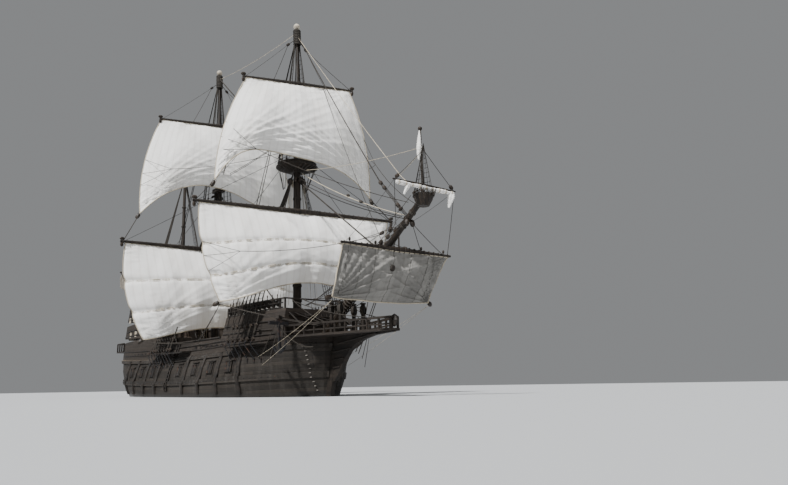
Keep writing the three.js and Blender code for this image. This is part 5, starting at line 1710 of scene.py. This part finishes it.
def dressDecks():
    for hatch in hatches:
        addHatch(*hatch)
    for side in sideNames:
        for x, y, low, high, run in stairs:
            addStairs(x, y * side, low, high, run)
    for x, z, facing, wide, places in doors:
        for y in places:
            place = hit(sideTree, (x + facing * 1.4, y, z), (-facing, 0, 0))[0]
            if place:
                fit("doors", "unitBox", place, (facing, 0, 0), (wide, 1.7, 0.07))
                fit("door_knobs", "ball", place + at(0.06 * facing, 0.25, -0.1), size=0.05)
    addCapstan(onDeck(-8.6, 0, 6.4))
    for x in (11.6, -3.2):
        addBitts(onDeck(x, 0, 6.4))
    addBelfry(onDeck(9.0, 0, 7.5))


dressBow()
dressForecastle()
dressStern()
dressDecks()
print("bow, stern and decks")


# Furled sails and the ensign

# The radius of a roll at a share of its length, from pairs of share and radius.
def radiusAt(radii, share):
    return float(np.interp(share, *zip(*radii)))


# A roll of bundled cloth from start to end, pinched where it is tied, with wrinkles that wind along it.
def addRoll(name, body, start, end, radii, seed, wrinkle, columns, around):
    rng = np.random.default_rng(seed)
    start, end = np.array(start, float), np.array(end, float)
    length = np.linalg.norm(end - start)
    way = (end - start) / length
    side = np.cross(way, (0, 0, 1) if abs(way[2]) < 0.9 else (1, 0, 0))
    side /= np.linalg.norm(side)
    up = np.cross(side, way)
    phases = rng.uniform(0, math.tau, 6)
    points, uvs = [], []
    for t in steps(0, 1, columns + 1):
        radius = radiusAt(radii, t)
        tie = 0.82 + 0.18 * min(1.0, abs(math.sin(math.tau * t * len(radii))) * 1.6)
        for angle in steps(0, math.tau, around + 1)[:-1]:
            ridge = np.mean([math.sin(angle * (k + 2) + phase + t * length * (0.8 + 0.5 * k))
                             for k, phase in enumerate(phases)])
            r = radius * tie * (1 + wrinkle * ridge)
            sag = radius * 1.5 * (1 - tie) if math.sin(angle) < 0 else 0
            points.append(start + way * t * length + side * r * math.cos(angle)
                          + up * (r * math.sin(angle) * 1.1 - sag))
            uvs.append((t * length, radius * angle))
    last = columns * around
    faces = [tuple(reversed(face)) for face in tubeFaces(columns + 1, around)]
    faces += [tuple(range(around)), tuple(last + j for j in reversed(range(around)))]
    mesh = meshOf(name, np.array(points) * shipMetre, (), faces)
    mapCloth(mesh, uvs)
    piece = linked(name, mesh, finishes["canvas"])
    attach(piece, body)
    return piece


furled = {
    "mizzen_sail": {"body": "mizzen_swing", "seed": 4, "wrinkle": 0.22, "start": (-7.11, 0.5, 8.60),
                    "end": (-14.38, 0.5, 14.76),
                    "radii": ((0, 0.13), (0.15, 0.21), (0.3, 0.19), (0.45, 0.22), (0.6, 0.19), (0.75, 0.2),
                              (0.9, 0.15), (1, 0.1))},
    "sprit_topsail": {"body": "sprit_topsail_brace", "seed": 9, "wrinkle": 0.55,
                      "start": (27.67, -2.36, 12.68),
                      "end": (27.67, 2.36, 12.68),
                      "radii": ((0, 0.10), (0.12, 0.12), (0.25, 0.08), (0.4, 0.11), (0.55, 0.08), (0.8, 0.12),
                                (0.9, 0.09), (1, 0.11))},
}
roll = {"columns": 110, "around": 22, "fill": 0.5, "ties": (0.04, 0.96, 9)}

# Bundled cloth that hangs loose: two ends of the furled sprit topsail and one on its mast
hangings = {
    "sprit_topsail_end_stbd": ("sprit_topsail_brace", (27.7, -1.45, 12.62), (27.72, -1.8, 11.98),
                               ((0, 0.13), (0.3, 0.11), (0.7, 0.08), (1, 0.05)), 21),
    "sprit_topsail_end_port": ("sprit_topsail_brace", (27.7, 2.15, 12.6), (27.62, 1.95, 11.7),
                               ((0, 0.16), (0.25, 0.2), (0.6, 0.14), (1, 0.05)), 22),
    "sprit_mast_cloth": ("ship", (27.42, -0.2, 16.45), (27.36, -0.26, 14.5),
                         ((0, 0.03), (0.3, 0.11), (0.55, 0.16), (0.8, 0.12), (1, 0.04)), 23),
}
hanging = {"wrinkle": 0.55, "columns": 30, "around": 16}


def buildFurled():
    for name, row in hangings.items():
        addRoll(name, *row, **hanging)
    for name, row in furled.items():
        piece = addRoll(name + "_roll", columns=roll["columns"], around=roll["around"], **row)
        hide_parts(name)
        way = Vector(row["end"]) - Vector(row["start"])
        for share in steps(*roll["ties"]):
            radius = radiusAt(row["radii"], share)
            fit(name + "_gaskets", "lashing", between(row["start"], row["end"], share), way,
                (radius * 1.05, radius * 1.15, 0.35), "hempRope", row["body"])


flag = {"columns": 26, "rows": 30, "staff": ((-18.6, -2.1, 10.2), (-22.6, -2.5, 13.9)), "hoist": (0.60, 0.93),
        "foot": 0.12, "slope": 0.5, "size": (3, 2.2), "thick": 0.01}


def buildEnsign():
    low = boxOf("ensign")[0]
    staff = np.array(flag["staff"])
    foot, head = (lerp(*staff, share) for share in flag["hoist"])
    across, down = np.meshgrid(np.linspace(0, 1, flag["columns"]), np.linspace(0, 1, flag["rows"]))
    points = lerp(foot, head, across[..., None])
    points[..., 2] -= down * np.maximum(points[..., 2] - (low.z + flag["foot"] + flag["slope"] * across), 0.3)
    points[..., 1] += 0.20 * np.sin(across * 17 + down * 2.5) * np.minimum(1, down * 3)
    points[..., 0] += 0.10 * np.sin(across * 11 + 1.0 + down * 4) * down
    wide, deep = flag["size"]
    uvs = np.stack([across * wide, down * deep], axis=-1)
    piece = solidCloth("ensign_cloth", points, uvs, "flagCloth", "ship", flag["thick"])
    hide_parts("ensign")


buildFurled()
buildEnsign()
print("furled sails and ensign")

buildSwept()
print("everything swept and scattered")


def report():
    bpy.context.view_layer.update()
    shown = [thing for thing in bpy.context.scene.objects if thing.type == "MESH" and not thing.hide_render]
    print("triangles", sum(len(face.vertices) - 2 for thing in shown for face in thing.data.polygons))


report()
